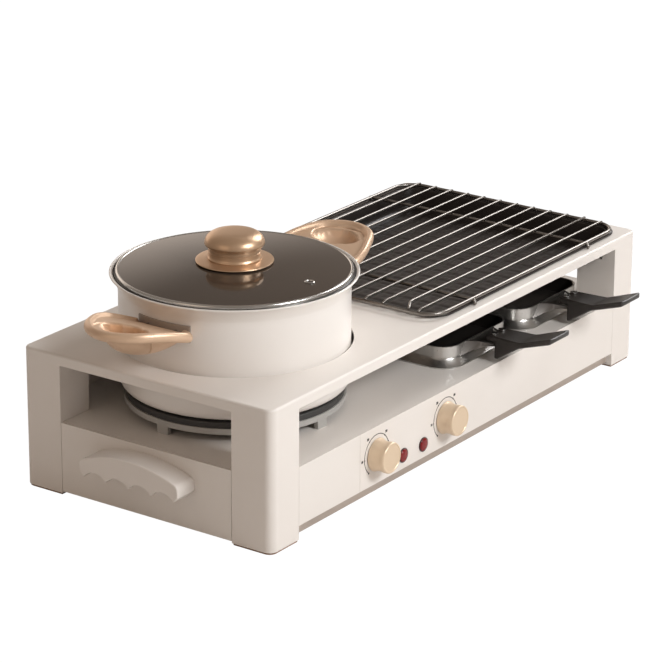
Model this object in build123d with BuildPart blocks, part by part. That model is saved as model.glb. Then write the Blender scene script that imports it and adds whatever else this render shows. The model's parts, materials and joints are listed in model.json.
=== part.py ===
"""Table cooker: a hob with a lidded pot on the left, a grill with two small pans on the right.

Millimetres, +Z up. The origin lies on the surface that the cooker stands on, under the middle
of its bounding box. +X runs along the housing from the drawer to the grill, and the knobs and
the pans face -Y.
"""
from build123d import *
from math import asin, atan, cos, degrees, radians, sin, sqrt
import os

# Clearances shared by all pieces
seam = 0.2
rest_gap = 0.3
slide_gap = 0.5
shaft_gap = 0.05
overrun = 5.0

# Housing
hob_end_length = 267.0
housing_width = 270.0
deck_height = 131.0
deck_skirt = 9.5
deck_sheet = 2.0
skirt_wall = 2.5
deck_arris = 2.2
corner_radius = 8.0
post_length = 39.2
post_width = 41.8
post_wall = 3.0
post_inner_radius = 18.0
pad_thickness = 1.8
pad_inset = 1.0
panel_bottom = 14.5
base_height = 68.4
panel_wall = 3.0
sheet = 1.2
floor_height = 4.0
floor_set_back = 6.0
floor_lip = 14.0
screw_radius = 1.5
screw_head_radius = 3.4
screw_head = 2.2
screw_length = 10.0
boss_radius = 4.5
deck_screw_inset = 9.0
vent_count = 9
vent_width = 4.0
vent_height = 24.0
vent_pitch = 11.0

# Hob
pot_inset = 129.8
hob_height = 18.3
hob_radius = 97.0
hob_thickness = 5.6
hob_ring_radius = 98.5
hob_ring_wall = 2.0
hob_ring_lip = 10.0
hob_ring_height = 5.2
hob_leg_width = 12.0
hob_leg_count = 4
hob_leg_turn = -3.0
hob_dish = 1.2
coil_radius = 66.0
coil_wire = 3.2
coil_turn = 320.0
coil_tail = 18.0
stud_radius = 4.0
stud_length = 21.5
nut_radius = 9.0
nut_height = 6.0

# Pot and lid
pot_radius = 102.5
pot_wall = 2.2
pot_rim_radius = 110.0
pot_rim_height = 193.1
pot_flare = 14.1
pot_foot_radius = 9.0
pot_hole_gap = 2.5
pot_plate_radius = 86.0
pot_plate = 1.6
band_play = 4.1
band_drop = 2.8
band_height = 3.3
band_wall = 3.2
band_lip = 5.5
band_sheet = 0.9
glass_thickness = 3.5
glass_rise = 6.0
flange_radius = 34.5
flange_height = 2.8
neck_radius = 22.5
neck_height = 9.5
cap_radius = 26.5
cap_height = 15.0
lid_screw_radius = 2.5
lid_screw_head_radius = 7.0
lid_screw_head = 2.5
lid_screw_grip = 12.0
cap_edge = 4.0
flange_edge = 1.2
vent_radius = 80.6
vent_bore = 1.6
vent_tube = 2.4
vent_flange = 4.6
vent_sheet = 0.8

# Pot handles
handle_reach = 186.0
handle_drop = 22.5
handle_middle_rise = 13.8
handle_tip_rise = 4.4
handle_thickness = 9.0
handle_edge = 3.0
handle_root_half_width = 27.0
handle_shoulder_reach = 124.0
handle_shoulder_half_width = 46.5
handle_flank_reach = 161.0
handle_flank_half_width = 36.0
handle_nose_reach = 179.0
handle_nose_half_width = 21.5
eye_near = 143.0
eye_far = 174.0
eye_half_width = 27.0
pocket_centre = 142.0
pocket_reach = 28.0
pocket_half_width = 25.0
pocket_depth = 20.0
pocket_rise = 13.4
keel_centre = 120.0
keel_reach = 50.0
keel_half_width = 31.0
keel_rise = 7.4
keel_depth = 24.0
bracket_half_angle = 15.5
bracket_sheet = 1.5
bracket_height = 18.0
bracket_rise = 7.0
handle_screw_spacing = 30.0
handle_screw_grip = 8.0

# Grill tray and wire rack
tray_length = 321.5
tray_width = 249.5
tray_right_margin = 11.5
tray_corner = 22.0
tray_rim_width = 6.0
tray_rim_rise = 2.9
tray_wall = 1.5
tray_depth = 23.4
tray_floor_radius = 6.0
tray_opening_gap = 2.0
rack_length = 323.5
rack_width = 247.2
rack_offset = 5.5
rack_corner = 22.0
loop_wire = 1.8
cross_wire = 1.6
rod_wire = 1.3
rod_count = 12
rod_span = 212.0
cross_inset = 62.0
weld = 0.2
cross_sink = 0.1
rack_foot_gap = 0.9
rack_foot_stand = 0.4
rack_foot_bend = 3.0
rod_over = 1.2
stray_rod = 1
stray_bend = 9.0
stray_length = 16.0
tray_rim_edge = 1.0

# Grill element
element_wire = 3.2
element_legs = 6
element_length = 250.0
element_pitch = 34.0
element_turn = 14.0
element_gap = 1.0
element_middle = 20.0
tail_spacing = 20.0
strap = 1.5
strap_width = 150.0
strap_overlap = 6.0
duct_length = 56.0
duct_depth = 16.0
duct_place = 104.0
duct_wall = 1.2

# Controls
control_seam = 130.0
control_mid = 210.0
control_height = 42.0
knob_spacing = 109.0
lamp_spacing = 32.0
lamp_shift = 2.8
lamp_drop = 14.6
knob_skirt_radius = 16.6
knob_skirt = 3.0
knob_radius = 14.8
knob_height = 13.0
knob_stand = 0.5
knob_edge = 1.2
shaft_radius = 3.0
shaft_seat = 9.0
thermostat_size = 32.0
thermostat_depth = 26.0
bush_radius = 4.5
lens_radius = 6.2
lens_stand = 2.6
lens_neck = 4.4
lens_round_share = 0.8
holder_radius = 7.5
holder_depth = 16.0
inlet_width = 27.0
inlet_height = 20.0
inlet_depth = 24.0
inlet_wall = 2.5
inlet_flange = 3.5
pin_radius = 1.6
pin_length = 14.0
pin_spacing = 7.0
block_length = 48.0
block_depth = 18.0
block_height = 16.0
block_bore = 2.0
block_ways = 4

# Drawer
drawer_bottom = 3.6
drawer_wall = 3.0
bin_length = 226.0
bin_width = 176.0
bin_height = 50.0
bin_wall = 1.6
bin_corner = 4.0
rail_height = 22.0
rail_foot = 12.0
grip_width = 108.0
grip_reach = 24.0
grip_bottom = 36.0
grip_scallop = 6.2
grip_scallops = 4
grip_heel = 5.0
grip_shoulder = 51.0
grip_top = 62.0
grip_corner = 7.0
grip_wall = 7.0
grip_roof = 10.0

# Raclette pans
pan_overhang = 59.5
pan_inset = 362.0
pan_pitch = 128.0
pan_count = 2
pan_width = 107.0
pan_set_back = 27.0
pan_corner = 17.0
pan_rim_height = 88.0
pan_sheet = 1.2
pan_floor = 1.5
pan_flange = 6.2
pan_skirt = 8.0
neck_root_top_half = 23.0
neck_root_half = 40.0
neck_root_depth = 14.0
neck_top_half = 15.5
neck_half = 12.0
neck_depth = 4.6
neck_length = 24.6
neck_channel = 2.5
grip_seat = 9.0
grip_root_half = 13.5
grip_tip_half = 17.5
grip_tip_corner = 3.0
grip_thickness = 5.5
grip_level = 28.0
grip_rise = 11.5
gusset_drop = 16.0
gusset_nose = 3.0
rivet_radius = 2.2
rivet_head_radius = 3.4
rivet_head = 1.2
rivet_grip = 4.5
rivet_spacing = 13.0

# Places that follow from the sizes above
housing_length = hob_end_length + tray_length + tray_right_margin
x_left = (handle_reach - pot_inset - housing_length) / 2
x_right = x_left + housing_length
x_mid = x_left + housing_length / 2
y_mid = pan_overhang / 2
y_front = y_mid - housing_width / 2
y_back = y_mid + housing_width / 2
half_wide = housing_width / 2
end_half = half_wide - post_width
pot_x = x_left + pot_inset
deck_underside = deck_height - deck_sheet
skirt_bottom = deck_height - deck_skirt
pot_hole = pot_radius + pot_hole_gap
tray_x = x_right - tray_right_margin - tray_length / 2
tray_rim_top = deck_height + tray_rim_rise
tray_bottom = tray_rim_top - tray_depth
body_length = tray_length - 2 * tray_rim_width
body_width = tray_width - 2 * tray_rim_width
body_corner = tray_corner - tray_rim_width
opening_length = body_length + 2 * tray_opening_gap
opening_width = body_width + 2 * tray_opening_gap
hob_top = base_height + hob_height
hob_bottom = hob_top - hob_thickness
pot_bottom = hob_top + rest_gap
knob_places = (control_mid - knob_spacing / 2, control_mid + knob_spacing / 2)
lamp_mid = control_mid + lamp_shift
lamp_places = (lamp_mid - lamp_spacing / 2, lamp_mid + lamp_spacing / 2)
lamp_height = control_height - lamp_drop
floor_top = floor_height + sheet
bin_bottom = floor_top + sheet + rest_gap
corners = (("front_left", -1, -1), ("front_right", 1, -1), ("rear_left", -1, 1), ("rear_right", 1, 1))
notch_bottom = tray_bottom - tray_opening_gap

# Working planes: the front face, the back face, the ends, and the pot's own axis
front_plane = Plane(origin=(x_left, y_front, 0), x_dir=(1, 0, 0), z_dir=(0, -1, 0))
back_plane = Plane(origin=(x_left, y_back, 0), x_dir=(1, 0, 0), z_dir=(0, -1, 0))
left_plane = Plane(origin=(x_left, y_mid, 0), x_dir=(0, 1, 0), z_dir=(1, 0, 0))
right_plane = Plane(origin=(x_right, y_mid, 0), x_dir=(0, 1, 0), z_dir=(1, 0, 0))
pot_plane = Plane(origin=(pot_x, y_mid, 0), x_dir=(1, 0, 0), z_dir=(0, -1, 0))
pot_axis = Axis((pot_x, y_mid, 0), (0, 0, 1))

os.makedirs("parts", exist_ok=True)


def save(part, label):
    """Label a finished piece and write it under its own name."""
    part.label = label
    export_step(part, f"parts/{label}.step")


def cap_sphere(radius, rise):
    """Radius of the sphere that a shallow dome is cut from."""
    return (radius ** 2 + rise ** 2) / (2 * rise)


def cap_points(radius, rise, edge_height):
    """Three points of that dome's arc, from its crown to its edge, as (radius, height)."""
    sphere = cap_sphere(radius, rise)
    centre = edge_height + rise - sphere
    half_angle = atan(radius / (sphere - rise)) / 2
    middle = (sphere * sin(half_angle), centre + sphere * cos(half_angle))
    return (0, edge_height + rise), middle, (radius, edge_height)


def cap_height_at(radius, rise, edge_height, distance):
    """Height of that dome at a distance from its axis."""
    sphere = cap_sphere(radius, rise)
    return edge_height + rise - sphere + sqrt(sphere ** 2 - distance ** 2)


def post_centre(side_x, side_y):
    """Centre of a corner post in plan."""
    return (x_mid + side_x * (housing_length - post_length) / 2,
            y_mid + side_y * (housing_width - post_width) / 2)


def deck_screw_centre(side_x, side_y):
    """Centre of the screw that holds the deck to a corner post, clear of the tray."""
    return (x_mid + side_x * (housing_length / 2 - deck_screw_inset),
            y_mid + side_y * (housing_width / 2 - deck_screw_inset))


def pot_plane_at(angle):
    """Upright plane through the pot's axis, turned about it by degrees."""
    turn = radians(angle)
    return Plane(origin=(pot_x, y_mid, 0), x_dir=(cos(turn), sin(turn), 0),
                 z_dir=(sin(turn), -cos(turn), 0))


def post_outline(side_x, side_y, inset):
    """Plan of a corner post, with a small outer corner and a large inner one."""
    with Locations(post_centre(side_x, side_y)):
        outline = Rectangle(post_length, post_width)
    ranked = outline.vertices().sort_by(lambda v: side_x * v.X + side_y * v.Y)
    fillet(ranked[-1], corner_radius)
    fillet(ranked[0], post_inner_radius)
    if inset > 0:
        offset(amount=-inset, kind=Kind.INTERSECTION, mode=Mode.REPLACE)


def base_outline(side_inset, end_inset):
    """Plan of the base between the corner posts: a cross of two rectangles."""
    with Locations((x_mid, y_mid)):
        Rectangle(housing_length - 2 * (post_length + seam), housing_width - 2 * side_inset)
        Rectangle(housing_length - 2 * end_inset, 2 * (end_half - seam))


deck_screw_places = [deck_screw_centre(side_x, side_y) for label, side_x, side_y in corners]

# Deck: a pressed sheet with a turned-down edge, a round hole and a rounded opening
with BuildPart() as deck:
    with BuildSketch(Plane.XY.offset(skirt_bottom)):
        with Locations((x_mid, y_mid)):
            RectangleRounded(housing_length, housing_width, corner_radius)
    extrude(amount=deck_skirt)
    fillet(deck.faces().sort_by(Axis.Z)[-1].edges(), deck_arris)
    with BuildSketch(Plane.XY.offset(skirt_bottom)):
        with Locations((x_mid, y_mid)):
            RectangleRounded(housing_length - 2 * skirt_wall, housing_width - 2 * skirt_wall,
                             corner_radius - skirt_wall)
    extrude(amount=deck_skirt - deck_sheet, mode=Mode.SUBTRACT)
    with BuildSketch(Plane.XY.offset(skirt_bottom + seam)):
        with Locations(*deck_screw_places):
            Circle(boss_radius)
    extrude(amount=deck_skirt - deck_sheet - seam)
    with BuildSketch(Plane.XY.offset(skirt_bottom)):
        with Locations(*deck_screw_places):
            Circle(screw_radius + shaft_gap)
    extrude(amount=deck_skirt - 2 * deck_sheet, mode=Mode.SUBTRACT)
    with BuildSketch(Plane.XY.offset(skirt_bottom)):
        with Locations((pot_x, y_mid)):
            Circle(pot_hole)
        with Locations((tray_x, y_mid)):
            RectangleRounded(opening_length, opening_width, body_corner + tray_opening_gap)
    extrude(amount=deck_skirt + overrun, mode=Mode.SUBTRACT)
save(deck.part, "deck")

# Corner posts: closed at the top, open below, stepped down where the tray passes over them
for label, side_x, side_y in corners:
    with BuildPart() as post_core:
        with BuildSketch(Plane.XY.offset(pad_thickness)):
            post_outline(side_x, side_y, post_wall)
        extrude(amount=skirt_bottom - pad_thickness - post_wall)
        with BuildSketch(Plane.XY.offset(notch_bottom - post_wall)):
            with Locations((tray_x, y_mid)):
                RectangleRounded(opening_length + 2 * post_wall, opening_width + 2 * post_wall,
                                 body_corner + tray_opening_gap + post_wall)
        extrude(amount=tray_depth, mode=Mode.SUBTRACT)

    with BuildPart() as post:
        with BuildSketch(Plane.XY.offset(pad_thickness)):
            post_outline(side_x, side_y, 0)
        extrude(amount=skirt_bottom - pad_thickness)
        with BuildSketch(Plane.XY.offset(notch_bottom)):
            with Locations((tray_x, y_mid)):
                RectangleRounded(opening_length, opening_width, body_corner + tray_opening_gap)
        extrude(amount=tray_depth, mode=Mode.SUBTRACT)
        add(post_core.part, mode=Mode.SUBTRACT)
        with BuildSketch(Plane.XY.offset(skirt_bottom - post_wall)):
            with Locations(deck_screw_centre(side_x, side_y)):
                Circle(screw_radius + seam)
        extrude(amount=post_wall, mode=Mode.SUBTRACT)
    save(post.part, f"corner_post_{label}")

with BuildPart() as foot_pads:
    for label, side_x, side_y in corners:
        with BuildSketch():
            post_outline(side_x, side_y, pad_inset)
        extrude(amount=pad_thickness)
save(foot_pads.part, "foot_pads")

with BuildPart() as deck_screws:
    with BuildSketch(Plane.XY.offset(skirt_bottom - post_wall - screw_head)):
        with Locations(*deck_screw_places):
            Circle(screw_head_radius)
    extrude(amount=screw_head)
    with BuildSketch(Plane.XY.offset(skirt_bottom - post_wall)):
        with Locations(*deck_screw_places):
            Circle(screw_radius)
    extrude(amount=post_wall + deck_skirt - 2 * deck_sheet - seam)
save(deck_screws.part, "deck_screws")

# Front panels: a plain one beside the drawer end and a longer one that carries the controls
side_panel_length = control_seam - post_length - 2 * seam
panel_height = base_height - panel_bottom
panel_middle = panel_bottom + panel_height / 2
with BuildPart() as front_panel:
    with BuildSketch(front_plane):
        with Locations((post_length + seam + side_panel_length / 2, panel_middle)):
            Rectangle(side_panel_length, panel_height)
    extrude(amount=-panel_wall)
save(front_panel.part, "front_panel")

control_length = housing_length - post_length - seam - control_seam
with BuildPart() as control_panel:
    with BuildSketch(front_plane):
        with Locations((control_seam + control_length / 2, panel_middle)):
            Rectangle(control_length, panel_height)
        with Locations(*[(place, control_height) for place in knob_places]):
            Circle(bush_radius + seam, mode=Mode.SUBTRACT)
        with Locations(*[(place, lamp_height) for place in lamp_places]):
            Circle(lens_neck + seam, mode=Mode.SUBTRACT)
    extrude(amount=-panel_wall)
save(control_panel.part, "control_panel")

# Rear panel: cooling slots and the cut-out of the mains inlet
rear_length = housing_length - 2 * (post_length + seam)
inlet_place = housing_length - post_length - 2 * inlet_width
with BuildPart() as rear_panel:
    with BuildSketch(back_plane):
        with Locations((housing_length / 2, panel_middle)):
            Rectangle(rear_length, panel_height)
        with Locations((housing_length / 2, panel_middle)):
            with GridLocations(vent_pitch, vent_height, vent_count, 1):
                SlotOverall(vent_height, vent_width, rotation=90, mode=Mode.SUBTRACT)
        with Locations((inlet_place, panel_middle)):
            Rectangle(inlet_width, inlet_height, mode=Mode.SUBTRACT)
    extrude(amount=panel_wall)
save(rear_panel.part, "rear_panel")

# Rear screen: the plain sheet that closes the back between the base and the deck
screen_low = base_height + seam
screen_height = deck_height - deck_skirt - seam - screen_low
with BuildPart() as rear_screen:
    with BuildSketch(back_plane):
        with Locations((housing_length / 2, screen_low + screen_height / 2)):
            Rectangle(rear_length, screen_height)
    extrude(amount=panel_wall)
save(rear_screen.part, "rear_screen")

with BuildPart() as end_panel:
    with BuildSketch(right_plane):
        with Locations((0, panel_middle)):
            Rectangle(2 * (end_half - seam), panel_height)
    extrude(amount=-panel_wall)
save(end_panel.part, "end_panel")

# Base top: the sheet that the hob's legs and the pans stand on
tail_angle = radians(360 - coil_turn) / 2
tail_places = [(pot_x + coil_radius * cos(tail_angle), y_mid + coil_radius * sin(side * tail_angle))
               for side in (-1, 1)]
duct_y = y_mid + duct_place + duct_depth / 2
with BuildPart() as base_top:
    with BuildSketch(Plane.XY.offset(base_height - sheet)):
        base_outline(panel_wall + seam, panel_wall + slide_gap)
        with Locations((pot_x, y_mid)):
            Circle(stud_radius + shaft_gap, mode=Mode.SUBTRACT)
        with Locations(*tail_places):
            Circle(coil_wire + seam, mode=Mode.SUBTRACT)
        with Locations((tray_x, duct_y)):
            Rectangle(duct_length - 4 * duct_wall, duct_depth - 4 * duct_wall, mode=Mode.SUBTRACT)
    extrude(amount=sheet)
save(base_top.part, "base_top")

# Floor pan: set back from the panels, with a lip on three sides and open at the drawer
with BuildPart() as floor_pan:
    with BuildSketch(Plane.XY.offset(floor_height)):
        base_outline(floor_set_back, floor_set_back)
    extrude(amount=floor_lip)
    with BuildSketch(Plane.XY.offset(floor_top)):
        base_outline(floor_set_back + sheet, floor_set_back + sheet)
        with Locations((x_left, y_mid)):
            Rectangle(2 * post_length, 2 * end_half)
    extrude(amount=floor_lip, mode=Mode.SUBTRACT)
save(floor_pan.part, "floor_pan")

# Drawer rails: a pair of angles on the floor pan
rail_face = bin_width / 2 + slide_gap
rail_length = bin_length + rail_foot
rail_start = x_left + floor_set_back + drawer_wall
with BuildPart() as drawer_rails:
    for side in (-1, 1):
        with BuildSketch(Plane.XY.offset(floor_top)):
            with Locations((rail_start + rail_length / 2,
                            y_mid + side * (rail_face + sheet - rail_foot / 2))):
                Rectangle(rail_length, rail_foot)
        extrude(amount=sheet)
        with BuildSketch(Plane.XY.offset(floor_top)):
            with Locations((rail_start + rail_length / 2, y_mid + side * (rail_face + sheet / 2))):
                Rectangle(rail_length, sheet)
        extrude(amount=rail_height)
save(drawer_rails.part, "drawer_rails")

# Hob: a cast plate on a pressed ring with legs, its coil, and the stud and nut that hold it
with BuildPart() as hob_plate:
    with BuildSketch(Plane.XY.offset(hob_bottom)):
        with Locations((pot_x, y_mid)):
            Circle(hob_radius)
    extrude(amount=hob_thickness)
    fillet(hob_plate.edges().group_by(Axis.Z)[-1], hob_dish)
    with BuildSketch(Plane.XY.offset(hob_top - hob_dish)):
        with Locations((pot_x, y_mid)):
            Circle(stud_radius * 3)
    extrude(amount=hob_dish + overrun, mode=Mode.SUBTRACT)
save(hob_plate.part, "hob_plate")

leg_height = hob_bottom - base_height
with BuildPart() as hob_ring:
    with BuildSketch(Plane.XY.offset(hob_bottom - hob_ring_height)):
        with Locations((pot_x, y_mid)):
            Circle(hob_ring_radius)
            Circle(hob_ring_radius - hob_ring_wall, mode=Mode.SUBTRACT)
    extrude(amount=hob_ring_height)
    with BuildSketch(Plane.XY.offset(hob_bottom - sheet)):
        with Locations((pot_x, y_mid)):
            Circle(hob_ring_radius)
            Circle(hob_ring_radius - hob_ring_lip, mode=Mode.SUBTRACT)
    extrude(amount=sheet)
    with BuildSketch(Plane.XY.offset(base_height)):
        with Locations((pot_x, y_mid)):
            with PolarLocations(hob_ring_radius - hob_ring_wall, hob_leg_count, start_angle=hob_leg_turn):
                Rectangle(2 * hob_ring_wall, hob_leg_width)
    extrude(amount=leg_height - sheet)
save(hob_ring.part, "hob_ring")

coil_level = hob_bottom - coil_wire
with BuildPart() as hob_coil:
    with BuildLine(Plane(origin=(pot_x, y_mid, coil_level))) as coil_path:
        CenterArc((0, 0), coil_radius, degrees(tail_angle), coil_turn)
    with BuildSketch(Plane(origin=coil_path.line @ 0, z_dir=coil_path.line % 0)):
        Circle(coil_wire)
    sweep()
    with Locations(*[(place_x, place_y, coil_level) for place_x, place_y in tail_places]):
        Sphere(coil_wire)
    with BuildSketch(Plane.XY.offset(coil_level)):
        with Locations(*tail_places):
            Circle(coil_wire)
    extrude(amount=-coil_tail)
save(hob_coil.part, "hob_coil")

with BuildPart() as hob_stud:
    with BuildSketch(Plane.XY.offset(hob_bottom)):
        with Locations((pot_x, y_mid)):
            Circle(stud_radius)
    extrude(amount=-stud_length)
save(hob_stud.part, "hob_stud")

with BuildPart() as hob_nut:
    with BuildSketch(Plane.XY.offset(base_height - sheet)):
        with Locations((pot_x, y_mid)):
            RegularPolygon(nut_radius, 6)
            Circle(stud_radius + shaft_gap, mode=Mode.SUBTRACT)
    extrude(amount=-nut_height)
save(hob_nut.part, "hob_nut")

# Grill element: one bent tube under the tray, on two straps that hang from the deck
element_level = tray_bottom - element_gap - element_wire
half_run = element_length / 2
first_row = (element_legs - 1) * element_pitch / 2
route = [(tail_spacing / 2, duct_place + duct_depth / 2)]
for leg in range(element_legs):
    row = first_row - leg * element_pitch
    reached = tail_spacing / 2 if leg == 0 else element_middle
    ends = [(reached, row), (half_run, row)]
    route += ends if leg % 2 == 0 else ends[::-1]
if element_legs % 2 == 0:
    route = route[:-1]
mirrored = [(-place_x, place_y) for place_x, place_y in reversed(route)]
with BuildPart() as grill_element:
    with BuildLine(Plane(origin=(tray_x, y_mid, element_level))) as element_path:
        FilletPolyline(*(route + mirrored), radius=element_turn)
    with BuildSketch(Plane(origin=element_path.line @ 0, z_dir=element_path.line % 0)):
        Circle(element_wire)
    sweep()
save(grill_element.part, "grill_element")

strap_left = x_left + housing_length - tray_right_margin - tray_length - tray_opening_gap
strap_right = x_right - tray_right_margin + tray_opening_gap
ledge_level = element_level - element_wire
for label, hanger, side in (("left", strap_left, 1), ("right", strap_right, -1)):
    ledge_end = tray_x - side * (half_run + element_wire - strap_overlap)
    with BuildPart() as element_strap:
        with BuildSketch(Plane.XY.offset(ledge_level)):
            with Locations(((hanger + ledge_end) / 2, y_mid)):
                Rectangle(abs(ledge_end - hanger), strap_width)
        extrude(amount=-strap)
        with BuildSketch(Plane.XY.offset(ledge_level - strap)):
            with Locations((hanger + side * strap / 2, y_mid)):
                Rectangle(strap, strap_width)
        extrude(amount=deck_underside - ledge_level + strap)
    save(element_strap.part, f"element_strap_{label}")

# Wire duct: a sheet column that carries the element's ends down into the base
duct_top = tray_bottom - element_gap
with BuildPart() as wire_duct:
    with BuildSketch(Plane.XY.offset(base_height)):
        with Locations((tray_x, duct_y)):
            Rectangle(duct_length, duct_depth)
    extrude(amount=duct_top - base_height)
    with BuildSketch(Plane.XY.offset(base_height)):
        with Locations((tray_x, duct_y)):
            Rectangle(duct_length - 2 * duct_wall, duct_depth - 2 * duct_wall)
    extrude(amount=duct_top - base_height - duct_wall, mode=Mode.SUBTRACT)
    with BuildSketch(Plane(origin=(tray_x, y_mid, 0), x_dir=(1, 0, 0), z_dir=(0, -1, 0))):
        with Locations((-tail_spacing / 2, element_level), (tail_spacing / 2, element_level)):
            Circle(element_wire + seam)
    extrude(amount=-(duct_place + duct_depth / 2), mode=Mode.SUBTRACT)
save(wire_duct.part, "wire_duct")

# Controls: a thermostat, a shaft and a knob for the hob and for the grill
for label, place in (("hob", knob_places[0]), ("grill", knob_places[1])):
    with BuildPart() as thermostat:
        with BuildSketch(front_plane.offset(-panel_wall)):
            with Locations((place, control_height)):
                RectangleRounded(thermostat_size, thermostat_size, knob_skirt)
        extrude(amount=-thermostat_depth)
        with BuildSketch(front_plane.offset(-panel_wall)):
            with Locations((place, control_height)):
                Circle(bush_radius)
        extrude(amount=panel_wall)
        with BuildSketch(front_plane):
            with Locations((place, control_height)):
                Circle(shaft_radius + shaft_gap)
        extrude(amount=-(panel_wall + shaft_seat + rest_gap), mode=Mode.SUBTRACT)
    save(thermostat.part, f"{label}_thermostat")

    with BuildPart() as knob:
        with BuildSketch(front_plane.offset(knob_stand)):
            with Locations((place, control_height)):
                Circle(knob_skirt_radius)
        extrude(amount=knob_skirt)
        fillet(knob.faces().sort_by(Axis.Y)[0].edges(), knob_edge)
        with BuildSketch(front_plane.offset(knob_stand)):
            with Locations((place, control_height)):
                Circle(knob_radius)
        extrude(amount=knob_skirt + knob_height)
        fillet(knob.faces().sort_by(Axis.Y)[0].edges(), knob_edge)
        with BuildSketch(front_plane):
            with Locations((place, control_height)):
                Circle(shaft_radius + shaft_gap)
        extrude(amount=knob_stand + knob_height, mode=Mode.SUBTRACT)
    save(knob.part, f"{label}_knob")

    with BuildPart() as shaft:
        with BuildSketch(front_plane.offset(-panel_wall - shaft_seat)):
            with Locations((place, control_height)):
                Circle(shaft_radius)
        extrude(amount=panel_wall + shaft_seat + knob_stand + knob_height - shaft_gap)
    save(shaft.part, f"{label}_shaft")

# Pilot lamps: a domed lens in front of the panel and a holder behind it
for label, place in (("hob", lamp_places[0]), ("grill", lamp_places[1])):
    with BuildPart() as lens:
        with BuildSketch(front_plane):
            with Locations((place, lamp_height)):
                Circle(lens_radius)
        extrude(amount=lens_stand)
        fillet(lens.faces().sort_by(Axis.Y)[0].edges(), lens_stand * lens_round_share)
        with BuildSketch(front_plane):
            with Locations((place, lamp_height)):
                Circle(lens_neck)
        extrude(amount=-panel_wall)
    save(lens.part, f"{label}_lamp_lens")

with BuildPart() as lamp_holders:
    with BuildSketch(front_plane.offset(-panel_wall)):
        with Locations(*[(place, lamp_height) for place in lamp_places]):
            Circle(holder_radius)
    extrude(amount=-holder_depth)
    with BuildSketch(front_plane.offset(-panel_wall - sheet)):
        with Locations(*[(place, lamp_height) for place in lamp_places]):
            Circle(lens_neck)
    extrude(amount=sheet - holder_depth, mode=Mode.SUBTRACT)
save(lamp_holders.part, "lamp_holders")

# Mains inlet: a recessed socket with three pins, flanged behind the rear panel
inlet_floor = inlet_depth - inlet_wall
with BuildPart() as mains_inlet:
    with BuildSketch(back_plane):
        with Locations((inlet_place, panel_middle)):
            Rectangle(inlet_width - 2 * seam, inlet_height - 2 * seam)
    extrude(amount=inlet_depth)
    with BuildSketch(back_plane.offset(panel_wall)):
        with Locations((inlet_place, panel_middle)):
            Rectangle(inlet_width + 2 * inlet_flange, inlet_height + 2 * inlet_flange)
    extrude(amount=inlet_wall)
    with BuildSketch(back_plane):
        with Locations((inlet_place, panel_middle)):
            Rectangle(inlet_width - 2 * inlet_wall, inlet_height - 2 * inlet_wall)
    extrude(amount=inlet_floor, mode=Mode.SUBTRACT)
    with BuildSketch(back_plane.offset(inlet_floor)):
        with Locations((inlet_place, panel_middle)):
            with Locations((-pin_spacing, 0), (0, pin_spacing / 2), (pin_spacing, 0)):
                Circle(pin_radius)
    extrude(amount=-pin_length)
save(mains_inlet.part, "mains_inlet")

block_place = (x_left + inlet_place - block_length * 2, y_back - floor_set_back - sheet - block_depth)
with BuildPart() as terminal_block:
    with BuildSketch(Plane.XY.offset(floor_top)):
        with Locations(block_place):
            Rectangle(block_length, block_depth)
    extrude(amount=block_height)
    with BuildSketch(Plane.XY.offset(floor_top + block_height)):
        with Locations(block_place):
            with GridLocations(block_length / block_ways, block_depth, block_ways, 1):
                Circle(block_bore)
    extrude(amount=-block_height / 2, mode=Mode.SUBTRACT)
save(terminal_block.part, "terminal_block")

# Drawer: a front plate with an arched pull, and the bin behind it, held by two screws
drawer_top = base_height - seam
pull_screw_places = [(side * (grip_width - grip_wall) / 2, grip_shoulder - grip_wall) for side in (-1, 1)]
with BuildPart() as drawer_front:
    with BuildSketch(left_plane):
        with Locations((0, (drawer_bottom + drawer_top) / 2)):
            Rectangle(2 * (end_half - slide_gap), drawer_top - drawer_bottom)
        with Locations(*pull_screw_places):
            Circle(screw_radius + seam, mode=Mode.SUBTRACT)
    extrude(amount=drawer_wall)
save(drawer_front.part, "drawer_front")

with BuildPart() as drawer_bin:
    with BuildSketch(Plane.XY.offset(bin_bottom)):
        with Locations((x_left + drawer_wall + bin_length / 2, y_mid)):
            Rectangle(bin_length, bin_width)
    extrude(amount=bin_height)
    fillet(drawer_bin.edges().filter_by(Axis.Z), bin_corner)
    with BuildSketch(Plane.XY.offset(bin_bottom + bin_wall)):
        with Locations((x_left + drawer_wall + bin_length / 2, y_mid)):
            RectangleRounded(bin_length - 2 * bin_wall, bin_width - 2 * bin_wall, bin_corner - bin_wall)
    extrude(amount=bin_height, mode=Mode.SUBTRACT)
    with BuildSketch(left_plane.offset(drawer_wall)):
        with Locations(*pull_screw_places):
            Circle(screw_radius + seam)
    extrude(amount=bin_wall + overrun, mode=Mode.SUBTRACT)
save(drawer_bin.part, "drawer_bin")

with BuildPart() as drawer_screws:
    with BuildSketch(left_plane.offset(drawer_wall + bin_wall)):
        with Locations(*pull_screw_places):
            Circle(screw_head_radius)
    extrude(amount=screw_head)
    with BuildSketch(left_plane.offset(drawer_wall + bin_wall)):
        with Locations(*pull_screw_places):
            Circle(screw_radius)
    extrude(amount=-(drawer_wall + bin_wall + screw_length))
save(drawer_screws.part, "drawer_screws")

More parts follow.
